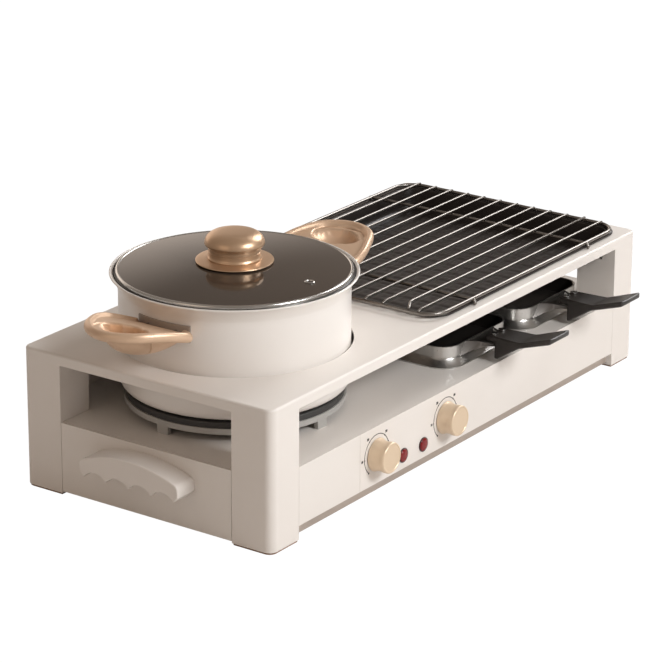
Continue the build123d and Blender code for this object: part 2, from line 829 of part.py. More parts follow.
# Drawer pull: an arch with a scalloped lower edge, hollow behind for the fingers
scallop = (grip_width - 2 * grip_heel) / grip_scallops
half_grip = grip_width / 2
with BuildPart() as drawer_pull:
    with BuildSketch(left_plane.offset(-grip_reach)):
        with BuildLine():
            cusp = half_grip - grip_heel
            Line((half_grip, grip_bottom + grip_heel), (half_grip, grip_shoulder))
            ThreePointArc((half_grip, grip_shoulder), (0, grip_top), (-half_grip, grip_shoulder))
            Line((-half_grip, grip_shoulder), (-half_grip, grip_bottom + grip_heel))
            Line((-half_grip, grip_bottom + grip_heel), (-cusp, grip_bottom))
            for number in range(grip_scallops):
                start = -cusp + number * scallop
                ThreePointArc((start, grip_bottom), (start + scallop / 2, grip_bottom + grip_scallop),
                              (start + scallop, grip_bottom))
            Line((cusp, grip_bottom), (half_grip, grip_bottom + grip_heel))
        outline = make_face()
        fillet(outline.vertices().group_by(Axis.Y)[-1], grip_corner)
    extrude(amount=grip_reach)
    with BuildSketch(left_plane.offset(-grip_reach + grip_wall)):
        with Locations((0, (grip_bottom - overrun + grip_top - grip_roof) / 2)):
            Rectangle(grip_width - 2 * grip_wall, grip_top - grip_roof - grip_bottom + overrun)
    extrude(amount=grip_reach, mode=Mode.SUBTRACT)
    with BuildSketch(left_plane):
        with Locations(*pull_screw_places):
            Circle(screw_radius + shaft_gap)
    extrude(amount=-(screw_length + screw_radius), mode=Mode.SUBTRACT)
    fillet(drawer_pull.faces().sort_by(Axis.X)[0].outer_wire().edges(), knob_edge)
save(drawer_pull.part, "drawer_pull")

# Pot: a spun shell with a flared rim, and the plate pressed under it
with BuildPart() as pot_shell:
    with BuildSketch(pot_plane):
        with BuildLine():
            Polyline((0, pot_bottom + pot_plate), (pot_radius, pot_bottom + pot_plate),
                     (pot_radius, pot_rim_height - pot_flare), (pot_rim_radius, pot_rim_height),
                     (pot_rim_radius - pot_wall, pot_rim_height),
                     (pot_radius - pot_wall, pot_rim_height - pot_flare),
                     (pot_radius - pot_wall, pot_bottom + pot_plate + pot_wall),
                     (0, pot_bottom + pot_plate + pot_wall), close=True)
        wall = make_face()
        low = wall.vertices().group_by(Axis.Y)
        fillet(low[0].sort_by(Axis.X)[-1], pot_foot_radius)
        fillet(wall.vertices().group_by(Axis.Y)[1].sort_by(Axis.X)[-1], pot_foot_radius - pot_wall)
    revolve(axis=pot_axis)
save(pot_shell.part, "pot_shell")

with BuildPart() as pot_plate_disc:
    with BuildSketch(Plane.XY.offset(pot_bottom)):
        with Locations((pot_x, y_mid)):
            Circle(pot_plate_radius)
    extrude(amount=pot_plate)
save(pot_plate_disc.part, "pot_base_plate")

# Pot handles: a curved loop over a keel with a finger pocket, a steel bracket and two screws
handle_root = pot_radius - pot_wall
handle_middle = (handle_root + handle_reach) / 2
eye_middle = (eye_near + eye_far) / 2
handle_root_height = pot_rim_height - handle_drop
handle_middle_height = handle_root_height + handle_middle_rise
handle_tip_height = handle_middle_height + handle_tip_rise
pocket_level = handle_root_height + pocket_rise
keel_level = handle_root_height + keel_rise
bracket_top = handle_root_height + bracket_rise
bracket_bottom = bracket_top - bracket_height
bracket_inner = pot_radius + seam
bracket_outer = bracket_inner + bracket_sheet
screw_level = bracket_bottom + bracket_height / 2
screw_seat = bracket_outer + handle_screw_grip
flare_start = pot_rim_height - pot_flare
keel_bottom = keel_level - keel_depth
unit_ball = Sphere(1)
keel_form = split(scale(unit_ball, by=(keel_reach, keel_half_width, keel_depth)), Plane.XY, Keep.BOTTOM)
pocket_form = scale(unit_ball, by=(pocket_reach, pocket_half_width, pocket_depth))
screw_spots = [(side * handle_screw_spacing / 2, screw_level) for side in (-1, 1)]
half_turn = 180
pocket_half_angle = bracket_half_angle + degrees(seam / pot_radius)
loop_root_top = (handle_root, handle_root_height)
loop_middle_top = (handle_middle, handle_middle_height)
loop_tip_top = (handle_reach, handle_tip_height)
loop_root_low = (handle_root, handle_root_height - handle_thickness)
loop_middle_low = (handle_middle, handle_middle_height - handle_thickness)
loop_tip_low = (handle_reach, handle_tip_height - handle_thickness)
with BuildPart() as handle_brackets:
    for side, facing in ((-1, half_turn), (1, 0)):
        with BuildSketch(pot_plane_at(facing - bracket_half_angle)):
            Polygon((bracket_inner, bracket_bottom), (bracket_outer, bracket_bottom),
                    (bracket_outer, bracket_top), (bracket_inner, bracket_top), align=None)
        revolve(axis=pot_axis, revolution_arc=2 * bracket_half_angle)
        with BuildSketch(Plane(origin=(pot_x, y_mid, 0), x_dir=(0, side, 0), z_dir=(side, 0, 0))):
            with Locations(*screw_spots):
                Circle(screw_radius + shaft_gap)
        extrude(amount=bracket_outer + overrun, mode=Mode.SUBTRACT)
save(handle_brackets.part, "handle_brackets")

for label, side, facing in (("left", -1, half_turn), ("right", 1, 0)):
    screw_plane = Plane(origin=(pot_x, y_mid, 0), x_dir=(0, side, 0), z_dir=(side, 0, 0))
    side_plane = Plane(origin=(pot_x, y_mid, 0), x_dir=(side, 0, 0), z_dir=(0, -side, 0))
    plan_plane = Plane(origin=(pot_x, y_mid, keel_bottom - overrun), x_dir=(side, 0, 0))
    with BuildPart() as keel:
        add(Pos(pot_x + side * keel_centre, y_mid, keel_level) * keel_form)
        with BuildSketch(side_plane):
            with BuildLine():
                ThreePointArc(loop_root_top, loop_middle_top, loop_tip_top)
                Polyline(loop_tip_top, (handle_reach, keel_bottom - overrun),
                         (handle_root, keel_bottom - overrun), loop_root_top)
            make_face()
        extrude(amount=keel_half_width + overrun, both=True, mode=Mode.INTERSECT)
    with BuildPart() as pocket:
        with BuildSketch(plan_plane):
            with Locations((eye_middle, 0)):
                SlotOverall(2 * eye_half_width, eye_far - eye_near, rotation=90)
        extrude(amount=handle_tip_height - keel_bottom + 2 * overrun)
        add(Pos(pot_x + side * pocket_centre, y_mid, pocket_level) * pocket_form, mode=Mode.INTERSECT)
    with BuildPart() as handle:
        with BuildSketch(plan_plane):
            with BuildLine():
                Spline((handle_root, -handle_root_half_width),
                       (handle_shoulder_reach, -handle_shoulder_half_width),
                       (handle_flank_reach, -handle_flank_half_width),
                       (handle_nose_reach, -handle_nose_half_width),
                       (handle_reach, 0),
                       (handle_nose_reach, handle_nose_half_width),
                       (handle_flank_reach, handle_flank_half_width),
                       (handle_shoulder_reach, handle_shoulder_half_width),
                       (handle_root, handle_root_half_width))
                Line((handle_root, handle_root_half_width), (handle_root, -handle_root_half_width))
            make_face()
        extrude(amount=handle_tip_height - keel_bottom + 2 * overrun)
        with BuildSketch(side_plane):
            with BuildLine():
                ThreePointArc(loop_root_top, loop_middle_top, loop_tip_top)
                Line(loop_tip_top, loop_tip_low)
                ThreePointArc(loop_tip_low, loop_middle_low, loop_root_low)
                Line(loop_root_low, loop_root_top)
            make_face()
        extrude(amount=handle_reach, both=True, mode=Mode.INTERSECT)
        fillet(handle.edges().filter_by(GeomType.BSPLINE), handle_edge)
        add(keel.part)
        add(pocket.part, mode=Mode.SUBTRACT)
        with BuildSketch(pot_plane):
            Polygon((0, keel_bottom - overrun), (pot_radius + seam, keel_bottom - overrun),
                    (pot_radius + seam, flare_start), (pot_rim_radius + seam, pot_rim_height),
                    (0, pot_rim_height), align=None)
        revolve(axis=pot_axis, mode=Mode.SUBTRACT)
        with BuildSketch(pot_plane_at(facing - pocket_half_angle)):
            Polygon((pot_radius, bracket_bottom - seam), (bracket_outer + seam, bracket_bottom - seam),
                    (bracket_outer + seam, bracket_top + seam), (pot_radius, bracket_top + seam), align=None)
        revolve(axis=pot_axis, revolution_arc=2 * pocket_half_angle, mode=Mode.SUBTRACT)
        with BuildSketch(screw_plane.offset(pot_radius)):
            with Locations(*screw_spots):
                Circle(screw_radius + shaft_gap)
        extrude(amount=handle_screw_grip + overrun, mode=Mode.SUBTRACT)
        with BuildSketch(screw_plane.offset(screw_seat)):
            with Locations(*screw_spots):
                Circle(screw_head_radius + seam)
        extrude(amount=eye_near - screw_seat + overrun, mode=Mode.SUBTRACT)
    save(handle.part, f"pot_handle_{label}")

with BuildPart() as handle_screws:
    for side in (-1, 1):
        screw_plane = Plane(origin=(pot_x, y_mid, 0), x_dir=(0, side, 0), z_dir=(side, 0, 0))
        with BuildSketch(screw_plane.offset(pot_radius + seam)):
            with Locations(*screw_spots):
                Circle(screw_radius)
        extrude(amount=screw_seat - pot_radius - seam)
        with BuildSketch(screw_plane.offset(screw_seat)):
            with Locations(*screw_spots):
                Circle(screw_head_radius)
        extrude(amount=screw_head)
save(handle_screws.part, "handle_screws")

# Lid: a steel band round a domed glass, a steam vent, and the knob on its flange
band_bottom = pot_rim_height - band_drop
band_top = band_bottom + band_height
band_radius = pot_rim_radius - band_play
band_inner = band_radius - band_wall
glass_radius = band_inner - rest_gap
glass_edge = band_bottom + band_sheet + rest_gap
glass_edge_top = glass_edge + glass_thickness
glass_under_crown = glass_edge + glass_rise
glass_crown = glass_edge_top + glass_rise
with BuildPart() as lid_band:
    with BuildSketch(pot_plane):
        with BuildLine():
            Polyline((band_inner - band_lip, band_bottom), (band_radius, band_bottom),
                     (band_radius, band_top), (band_inner, band_top),
                     (band_inner, band_bottom + band_sheet),
                     (band_inner - band_lip, band_bottom + band_sheet), close=True)
        make_face()
    revolve(axis=pot_axis)
    fillet(lid_band.faces().sort_by(Axis.Z)[-1].outer_wire().edges(), band_sheet)
save(lid_band.part, "lid_band")

vent_top = cap_height_at(glass_radius, glass_rise, glass_edge_top, vent_radius)
vent_lean = asin(vent_radius / cap_sphere(glass_radius, glass_rise))
vent_plane = Plane(origin=(pot_x, y_mid - vent_radius, vent_top), x_dir=(1, 0, 0),
                   z_dir=(0, -sin(vent_lean), cos(vent_lean)))
with BuildPart() as lid_glass:
    with BuildSketch(pot_plane):
        with BuildLine():
            ThreePointArc(*cap_points(glass_radius, glass_rise, glass_edge))
            Line((glass_radius, glass_edge), (glass_radius, glass_edge_top))
            ThreePointArc(*cap_points(glass_radius, glass_rise, glass_edge_top))
            Line((0, glass_crown), (0, glass_under_crown))
        make_face()
    revolve(axis=pot_axis)
    with BuildSketch(Plane.XY.offset(glass_edge)):
        with Locations((pot_x, y_mid)):
            Circle(lid_screw_radius + seam)
    extrude(amount=glass_rise + glass_thickness + overrun, mode=Mode.SUBTRACT)
    with BuildSketch(vent_plane):
        Circle(vent_tube + shaft_gap)
    extrude(amount=glass_thickness + overrun, both=True, mode=Mode.SUBTRACT)
save(lid_glass.part, "lid_glass")

vent_length = glass_thickness + 2 * (shaft_gap + vent_sheet)
with BuildPart() as lid_vent:
    with BuildSketch(vent_plane.offset(shaft_gap)):
        Circle(vent_flange)
    extrude(amount=vent_sheet)
    with BuildSketch(vent_plane.offset(-glass_thickness - shaft_gap)):
        Circle(vent_flange)
    extrude(amount=-vent_sheet)
    with BuildSketch(vent_plane.offset(-glass_thickness - shaft_gap)):
        Circle(vent_tube)
    extrude(amount=glass_thickness + 2 * shaft_gap)
    with BuildSketch(vent_plane.offset(shaft_gap + vent_sheet)):
        Circle(vent_bore)
    extrude(amount=-vent_length, mode=Mode.SUBTRACT)
save(lid_vent.part, "lid_vent")

flange_bottom = glass_crown + seam
knob_bottom = flange_bottom + flange_height
with BuildPart() as lid_knob_flange:
    with BuildSketch(Plane.XY.offset(flange_bottom)):
        with Locations((pot_x, y_mid)):
            Circle(flange_radius)
    extrude(amount=flange_height)
    fillet(lid_knob_flange.faces().sort_by(Axis.Z)[-1].edges(), flange_edge)
    with BuildSketch(Plane.XY.offset(flange_bottom)):
        with Locations((pot_x, y_mid)):
            Circle(lid_screw_radius + seam)
    extrude(amount=flange_height, mode=Mode.SUBTRACT)
save(lid_knob_flange.part, "lid_knob_flange")

with BuildPart() as lid_knob:
    with BuildSketch(Plane.XY.offset(knob_bottom)):
        with Locations((pot_x, y_mid)):
            Circle(neck_radius)
    extrude(amount=neck_height)
    with BuildSketch(Plane.XY.offset(knob_bottom + neck_height)):
        with Locations((pot_x, y_mid)):
            Circle(cap_radius)
    extrude(amount=cap_height)
    fillet(lid_knob.faces().sort_by(Axis.Z)[-1].edges(), cap_edge)
    with BuildSketch(Plane.XY.offset(knob_bottom)):
        with Locations((pot_x, y_mid)):
            Circle(lid_screw_radius + shaft_gap)
    extrude(amount=lid_screw_grip + rest_gap, mode=Mode.SUBTRACT)
save(lid_knob.part, "lid_knob")

with BuildPart() as lid_screw:
    with BuildSketch(Plane.XY.offset(glass_under_crown - seam)):
        with Locations((pot_x, y_mid)):
            Circle(lid_screw_head_radius)
    extrude(amount=-lid_screw_head)
    with BuildSketch(Plane.XY.offset(glass_under_crown - seam)):
        with Locations((pot_x, y_mid)):
            Circle(lid_screw_radius)
    extrude(amount=knob_bottom + lid_screw_grip - glass_under_crown + seam)
save(lid_screw.part, "lid_screw")

# Grill tray: a drawn pan with a rounded floor edge and a rim that lies on the deck
with BuildPart() as tray_cavity:
    with BuildSketch(Plane.XY.offset(tray_bottom + tray_wall)):
        with Locations((tray_x, y_mid)):
            RectangleRounded(body_length - 2 * tray_wall, body_width - 2 * tray_wall,
                             body_corner - tray_wall)
    extrude(amount=tray_depth)
    fillet(tray_cavity.faces().sort_by(Axis.Z)[0].edges(), tray_floor_radius - tray_wall)

with BuildPart() as grill_tray:
    with BuildSketch(Plane.XY.offset(tray_bottom)):
        with Locations((tray_x, y_mid)):
            RectangleRounded(body_length, body_width, body_corner)
    extrude(amount=tray_depth)
    fillet(grill_tray.faces().sort_by(Axis.Z)[0].edges(), tray_floor_radius)
    with BuildSketch(Plane.XY.offset(deck_height + rest_gap)):
        with Locations((tray_x, y_mid)):
            RectangleRounded(tray_length, tray_width, tray_corner)
    extrude(amount=tray_rim_rise - rest_gap)
    fillet(grill_tray.faces().sort_by(Axis.Z)[-1].edges(), tray_rim_edge)
    add(tray_cavity.part, mode=Mode.SUBTRACT)
save(grill_tray.part, "grill_tray")

# Wire rack: a rounded loop on the tray's rim, two cross wires with turned-down feet, and long rods
loop_level = tray_rim_top + rest_gap + loop_wire
rod_level = loop_level + loop_wire + rod_wire - weld
cross_level = loop_level - cross_sink
rack_x = tray_x - rack_offset
rack_foot = tray_width / 2 + rack_foot_gap + cross_wire
half_rack = rack_length / 2
half_loop = rack_width / 2
with BuildPart() as rack_frame:
    with BuildLine(Plane(origin=(rack_x, y_mid, loop_level))) as loop_path:
        FilletPolyline((half_rack, -half_loop), (half_rack, half_loop), (-half_rack, half_loop),
                       (-half_rack, -half_loop), radius=rack_corner, close=True)
    with BuildSketch(Plane(origin=loop_path.line @ 0, z_dir=loop_path.line % 0)):
        Circle(loop_wire)
    sweep()
    for side in (-1, 1):
        cross_x = rack_x + side * (half_rack - cross_inset)
        with BuildLine(Plane(origin=(cross_x, y_mid, 0), x_dir=(0, 1, 0), z_dir=(1, 0, 0))) as cross_path:
            FilletPolyline((-rack_foot, deck_height + rack_foot_stand), (-rack_foot, cross_level),
                           (rack_foot, cross_level), (rack_foot, deck_height + rack_foot_stand),
                           radius=rack_foot_bend)
        with BuildSketch(Plane(origin=cross_path.line @ 0, z_dir=cross_path.line % 0)):
            Circle(cross_wire)
        sweep(path=cross_path.line)
save(rack_frame.part, "rack_frame")

half_rod = half_rack + rod_over
with BuildPart() as rack_rods:
    for number in range(rod_count):
        place = number * rod_span / (rod_count - 1) - rod_span / 2
        with BuildLine(Plane(origin=(rack_x, y_mid, rod_level))) as rod_path:
            if number == stray_rod:
                FilletPolyline((half_rod, place), (stray_length - half_rod, place),
                               (-half_rod, place - stray_bend), radius=stray_length)
            else:
                Line((half_rod, place), (-half_rod, place))
        with BuildSketch(Plane(origin=rod_path.line @ 0, z_dir=rod_path.line % 0)):
            Circle(rod_wire)
        sweep(path=rod_path.line)
save(rack_rods.part, "rack_rods")

# Raclette pans: a square bowl on a flared skirt, a neck, and a handle on two rivets
pan_bottom = base_height + rest_gap
skirt_top = pan_bottom + pan_skirt
rim_front = y_front + pan_set_back
pan_y = rim_front + pan_width / 2
neck_end = rim_front - neck_length
grip_bottom_face = pan_rim_height + seam
grip_start = neck_end + grip_seat
grip_end = y_front - pan_overhang
gusset_start = neck_end - slide_gap
level_end = neck_end - grip_level
rivet_y = neck_end + grip_seat / 2
skirt_width = pan_width + 2 * pan_flange
bowl_width = pan_width - 2 * pan_sheet
for number in range(pan_count):
    pan_x = x_left + pan_inset + number * pan_pitch
    side_plane = Plane(origin=(pan_x, 0, 0), x_dir=(0, 1, 0), z_dir=(1, 0, 0))
    root_plane = Plane(origin=(pan_x, rim_front, 0), x_dir=(1, 0, 0), z_dir=(0, -1, 0))
    with BuildPart() as pan_tray:
        with BuildSketch(Plane.XY.offset(pan_bottom)):
            with Locations((pan_x, pan_y)):
                RectangleRounded(skirt_width, skirt_width, pan_corner + pan_flange)
        with BuildSketch(Plane.XY.offset(skirt_top)):
            with Locations((pan_x, pan_y)):
                RectangleRounded(pan_width, pan_width, pan_corner)
        loft(ruled=True)
        with BuildSketch(Plane.XY.offset(pan_bottom)):
            with Locations((pan_x, pan_y)):
                RectangleRounded(skirt_width - 2 * pan_sheet, skirt_width - 2 * pan_sheet,
                                 pan_corner + pan_flange - pan_sheet)
        with BuildSketch(Plane.XY.offset(skirt_top - pan_sheet)):
            with Locations((pan_x, pan_y)):
                RectangleRounded(bowl_width, bowl_width, pan_corner - pan_sheet)
        loft(ruled=True, mode=Mode.SUBTRACT)
        with BuildSketch(Plane.XY.offset(pan_bottom + pan_floor)):
            with Locations((pan_x, pan_y)):
                RectangleRounded(pan_width, pan_width, pan_corner)
        extrude(amount=pan_rim_height - pan_bottom - pan_floor)
        with BuildSketch(root_plane):
            Polygon((-neck_root_half, pan_rim_height - neck_root_depth),
                    (neck_root_half, pan_rim_height - neck_root_depth),
                    (neck_root_top_half, pan_rim_height), (-neck_root_top_half, pan_rim_height), align=None)
        extrude(amount=-pan_corner)
        with BuildSketch(root_plane):
            Polygon((-neck_root_half, pan_rim_height - neck_root_depth),
                    (neck_root_half, pan_rim_height - neck_root_depth),
                    (neck_root_top_half, pan_rim_height), (-neck_root_top_half, pan_rim_height), align=None)
        with BuildSketch(root_plane.offset(neck_length)):
            Polygon((-neck_half, pan_rim_height - neck_depth), (neck_half, pan_rim_height - neck_depth),
                    (neck_top_half, pan_rim_height), (-neck_top_half, pan_rim_height), align=None)
        loft(ruled=True)
        with BuildSketch(Plane.XY.offset(pan_bottom + 2 * pan_floor)):
            with Locations((pan_x, pan_y)):
                RectangleRounded(bowl_width, bowl_width, pan_corner - pan_sheet)
        extrude(amount=pan_rim_height - pan_bottom, mode=Mode.SUBTRACT)
        with BuildSketch(Plane.XY.offset(pan_rim_height - neck_channel)):
            with Locations((pan_x, 0)):
                Polygon((-neck_half, grip_start + pan_sheet), (neck_half, grip_start + pan_sheet),
                        (neck_top_half, rim_front - pan_sheet), (-neck_top_half, rim_front - pan_sheet),
                        align=None)
        extrude(amount=neck_channel + overrun, mode=Mode.SUBTRACT)
        with BuildSketch(Plane.XY.offset(pan_rim_height - rivet_grip - seam)):
            with Locations((pan_x, rivet_y)):
                with GridLocations(rivet_spacing, rivet_spacing, 2, 1):
                    Circle(rivet_radius + shaft_gap)
        extrude(amount=rivet_grip + overrun, mode=Mode.SUBTRACT)
    save(pan_tray.part, f"pan_{number + 1}_tray")

    with BuildPart() as pan_handle:
        with BuildSketch(side_plane):
            Polygon((grip_start, grip_bottom_face), (gusset_start, grip_bottom_face),
                    (gusset_start, grip_bottom_face - gusset_drop),
                    (gusset_start - gusset_nose, grip_bottom_face - gusset_drop),
                    (level_end, grip_bottom_face), (grip_end, grip_bottom_face + grip_rise),
                    (grip_end, grip_bottom_face + grip_rise + grip_thickness),
                    (level_end, grip_bottom_face + grip_thickness),
                    (grip_start, grip_bottom_face + grip_thickness), align=None)
        extrude(amount=grip_tip_half, both=True)
        with BuildSketch(Plane.XY.offset(grip_bottom_face - gusset_drop)):
            with Locations((pan_x, 0)):
                plan = Polygon((-grip_root_half, grip_start), (-grip_root_half, neck_end),
                               (-grip_tip_half, grip_end), (grip_tip_half, grip_end),
                               (grip_root_half, neck_end), (grip_root_half, grip_start), align=None)
            fillet(plan.vertices().group_by(Axis.Y)[0], grip_tip_corner)
        extrude(amount=gusset_drop + grip_rise + grip_thickness, mode=Mode.INTERSECT)
        with BuildSketch(Plane.XY.offset(grip_bottom_face)):
            with Locations((pan_x, rivet_y)):
                with GridLocations(rivet_spacing, rivet_spacing, 2, 1):
                    Circle(rivet_radius + shaft_gap)
        extrude(amount=grip_thickness, mode=Mode.SUBTRACT)
    save(pan_handle.part, f"pan_{number + 1}_handle")

    with BuildPart() as pan_rivets:
        with BuildSketch(Plane.XY.offset(pan_rim_height - rivet_grip)):
            with Locations((pan_x, rivet_y)):
                with GridLocations(rivet_spacing, rivet_spacing, 2, 1):
                    Circle(rivet_radius)
        extrude(amount=rivet_grip + seam + grip_thickness)
        with BuildSketch(Plane.XY.offset(grip_bottom_face + grip_thickness)):
            with Locations((pan_x, rivet_y)):
                with GridLocations(rivet_spacing, rivet_spacing, 2, 1):
                    Circle(rivet_head_radius)
        extrude(amount=rivet_head)
    save(pan_rivets.part, f"pan_{number + 1}_rivets")
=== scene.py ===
"""Dresses the table cooker: hob and lidded pot, grill tray and rack, raclette pans, dials, drawer.

Sizes are in millimetres in the cooker's own frame: +Z up from the table, +X from the drawer end
to the grill end, and the dials and pans face -Y. Meshes are stored in metres.
"""
from __future__ import annotations

import json
import logging
import math
from dataclasses import dataclass, field
from enum import Enum

import bmesh
import bpy
import numpy as np
from mathutils import Matrix, Vector

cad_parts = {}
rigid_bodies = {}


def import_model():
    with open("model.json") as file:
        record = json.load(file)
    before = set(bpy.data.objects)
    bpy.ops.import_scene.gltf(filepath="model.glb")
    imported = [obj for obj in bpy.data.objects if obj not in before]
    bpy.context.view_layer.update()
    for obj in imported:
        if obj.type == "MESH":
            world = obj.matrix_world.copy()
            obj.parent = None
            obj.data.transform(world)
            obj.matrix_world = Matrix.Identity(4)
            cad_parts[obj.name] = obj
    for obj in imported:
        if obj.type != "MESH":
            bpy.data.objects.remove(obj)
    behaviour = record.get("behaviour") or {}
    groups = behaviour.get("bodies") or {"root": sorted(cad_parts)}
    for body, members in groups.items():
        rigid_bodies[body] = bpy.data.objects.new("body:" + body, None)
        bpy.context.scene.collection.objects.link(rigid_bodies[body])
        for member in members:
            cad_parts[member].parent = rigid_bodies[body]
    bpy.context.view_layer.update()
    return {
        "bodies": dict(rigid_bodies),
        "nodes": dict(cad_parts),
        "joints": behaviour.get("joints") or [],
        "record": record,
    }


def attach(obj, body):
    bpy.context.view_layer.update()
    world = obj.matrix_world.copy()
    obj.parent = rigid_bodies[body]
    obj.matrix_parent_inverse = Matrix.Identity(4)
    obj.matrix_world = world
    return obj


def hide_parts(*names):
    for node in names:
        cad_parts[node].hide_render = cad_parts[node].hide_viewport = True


LOG = logging.getLogger("cooker")
MM = 0.001
TURN = 2 * math.pi
X_LEFT = -271.9
Y_MID = 29.75
Y_FRONT = Y_MID - 135.0
POT_X = X_LEFT + 129.8
POT_AXIS = (POT_X, Y_MID, 0.0)
TRAY_X = X_LEFT + 427.75


# Meshes

def add_object(name: str, data: bpy.types.ID) -> bpy.types.Object:
    """Makes an object of some data and links it to the scene.

    Args:
        name: Name of the object.
        data: Its mesh, curve, lamp or camera.

    Returns:
        The object.
    """
    thing = bpy.data.objects.new(name, data)
    bpy.context.scene.collection.objects.link(thing)
    return thing


def smooth(mesh: bpy.types.Mesh, angle: float) -> None:
    """Shades a mesh smooth, with edges sharp that turn by more than an angle in degrees."""
    mesh.polygons.foreach_set("use_smooth", np.ones(len(mesh.polygons), bool))
    mesh.set_sharp_from_angle(angle=math.radians(angle))


def make_piece(name: str, points: np.ndarray, faces: list,
               smooth_angle: float = 38.0) -> bpy.types.Object:
    """Makes an object at the origin whose mesh holds the given points.

    Args:
        name: Name of the piece.
        points: Points in millimetres, shape (n, 3).
        faces: Faces as sequences of point numbers.
        smooth_angle: Edges that turn by more than this many degrees stay sharp.

    Returns:
        The new object.
    """
    mesh = bpy.data.meshes.new(name)
    places = (np.asarray(points, float) * MM).tolist()
    mesh.from_pydata(places, [], [list(map(int, face)) for face in faces])
    mesh.validate()
    smooth(mesh, smooth_angle)
    mesh.update()
    return add_object(name, mesh)


def rounded_stack(rows: list, size: tuple, corner: float, centre: tuple,
                  per_corner: int = 12) -> np.ndarray:
    """Loops of rounded rectangles, each counter-clockwise from above.

    Formula: each corner is a quarter circle round a centre set in by its radius from both sides.
    A loop that is set in loses as much of its corner radius, down to 1.5 mm.

    Args:
        rows: (distance set in, height) of each loop, with a distance below 0 for a larger loop.
        size: Size along X and Y of a loop that isn't set in.
        corner: Its corner radius.
        centre: Its middle in plan.
        per_corner: Points on each corner's arc.

    Returns:
        An array of shape (rows, 4 * per_corner, 3).
    """
    signs = np.array([(1, -1), (1, 1), (-1, 1), (-1, -1)], float)
    starts = np.radians([-90, 0, 90, 180])
    angles = starts[:, None] + np.linspace(0, math.pi / 2, per_corner)[None, :]
    arcs = np.stack([np.cos(angles), np.sin(angles)], -1)
    loops = []
    for inset, height in rows:
        radius = max(corner - inset, 1.5)
        centres = signs * np.array([(side - 2 * inset) / 2 - radius for side in size])
        flat = (centres[:, None, :] + radius * arcs).reshape(-1, 2) + centre
        loops.append(np.column_stack([flat, np.full(len(flat), height)]))
    return np.stack(loops)


def grid_faces(rows: int, columns: int, wrap_rows: bool, wrap_columns: bool) -> np.ndarray:
    """Quads of a grid of points, counter-clockwise when rows run up and columns to the left.

    Args:
        rows: Number of rows of points.
        columns: Number of points in a row.
        wrap_rows: Whether the last row joins the first.
        wrap_columns: Whether the last column joins the first.

    Returns:
        An array of shape (faces, 4).
    """
    r = np.arange(rows if wrap_rows else rows - 1)
    c = np.arange(columns if wrap_columns else columns - 1)
    r, c = np.meshgrid(r, c, indexing="ij")
    r2, c2 = (r + 1) % rows, (c + 1) % columns
    corners = [r * columns + c, r * columns + c2, r2 * columns + c2, r2 * columns + c]
    return np.stack(corners, -1).reshape(-1, 4)


@dataclass
class Surface:
    """Points and faces gathered from several grids before they become one piece."""

    points: list = field(default_factory=list)
    faces: list = field(default_factory=list)
    count: int = 0

    def add_grid(self, grid: np.ndarray, wrap_rows: bool = False, wrap_columns: bool = False,
                 flip: bool = False) -> Surface:
        """Appends a grid of points with its quads.

        Args:
            grid: The points, shape (rows, columns, 3).
            wrap_rows: Whether the last row joins the first.
            wrap_columns: Whether the last column joins the first.
            flip: Whether to turn the faces over.

        Returns:
            The surface itself.
        """
        faces = grid_faces(grid.shape[0], grid.shape[1], wrap_rows, wrap_columns) + self.count
        self.points.append(grid.reshape(-1, 3))
        self.faces.extend((faces[:, ::-1] if flip else faces).tolist())
        self.count += len(self.points[-1])
        return self

    def add_loops(self, loops: np.ndarray) -> Surface:
        """Joins closed loops and closes the first and the last with a flat face.

        Args:
            loops: Shape (loops, points, 3), each counter-clockwise seen from the stack's end.

        Returns:
            The surface itself.
        """
        start, size = self.count, loops.shape[1]
        self.add_grid(loops, wrap_columns=True)
        last = self.count - size
        self.faces += [list(range(start, start + size))[::-1], list(range(last, last + size))]
        return self

    def piece(self, name: str, smooth_angle: float = 38.0) -> bpy.types.Object:
        """Turns what was gathered into one piece."""
        return make_piece(name, np.concatenate(self.points), self.faces, smooth_angle)


def turned_piece(name: str, profile: list, centre: tuple, segments: int,
                 along: str) -> bpy.types.Object:
    """Makes a piece from a profile turned about an axis.

    Formula: a profile point (r, h) at angle a lies at r cos a, r sin a across the axis and h
    along it. A profile point with r = 0 becomes one pole.

    Args:
        name: Name of the piece.
        profile: (radius, height) pairs, with the outside on the left of the way they run.
        centre: Point that the axis passes through.
        segments: Number of steps round the axis.
        along: "z" for an upright axis, "-y" for one that points to the front.

    Returns:
        The piece.
    """
    outline = np.asarray(profile, float)
    angles = np.linspace(0, TURN, segments, endpoint=False)
    radius, height = outline[:, :1], np.repeat(outline[:, 1:], segments, axis=1)
    points = np.stack([radius * np.cos(angles), radius * np.sin(angles), height], -1)
    step = np.arange(segments)
    after = (step + 1) % segments
    faces = []
    for row in range(len(outline) - 1):
        low_pole, high_pole = outline[row:row + 2, 0] < 1e-9
        a, b = row * segments, (row + 1) * segments
        if low_pole:
            corners = [np.full(segments, a), b + after, b + step]
        elif high_pole:
            corners = [a + step, a + after, np.full(segments, b)]
        else:
            corners = [a + step, a + after, b + after, b + step]
        faces += np.stack(corners, -1).tolist()
    used = np.unique(np.concatenate(faces))
    points = points.reshape(-1, 3)[used]
    if along == "-y":
        points = np.stack([points[:, 0], -points[:, 2], points[:, 1]], -1)
    renumber = np.zeros(len(outline) * segments, int)
    renumber[used] = np.arange(len(used))
    return make_piece(name, points + np.asarray(centre, float), [renumber[face] for face in faces])


def arc(centre: tuple, radius: float, start: float, end: float, count: int) -> list:
    """Points of a circle's arc, from a start to an end angle in degrees, as (x, y) pairs."""
    angles = np.radians(np.linspace(start, end, count))
    return list(zip(centre[0] + radius * np.cos(angles), centre[1] + radius * np.sin(angles)))


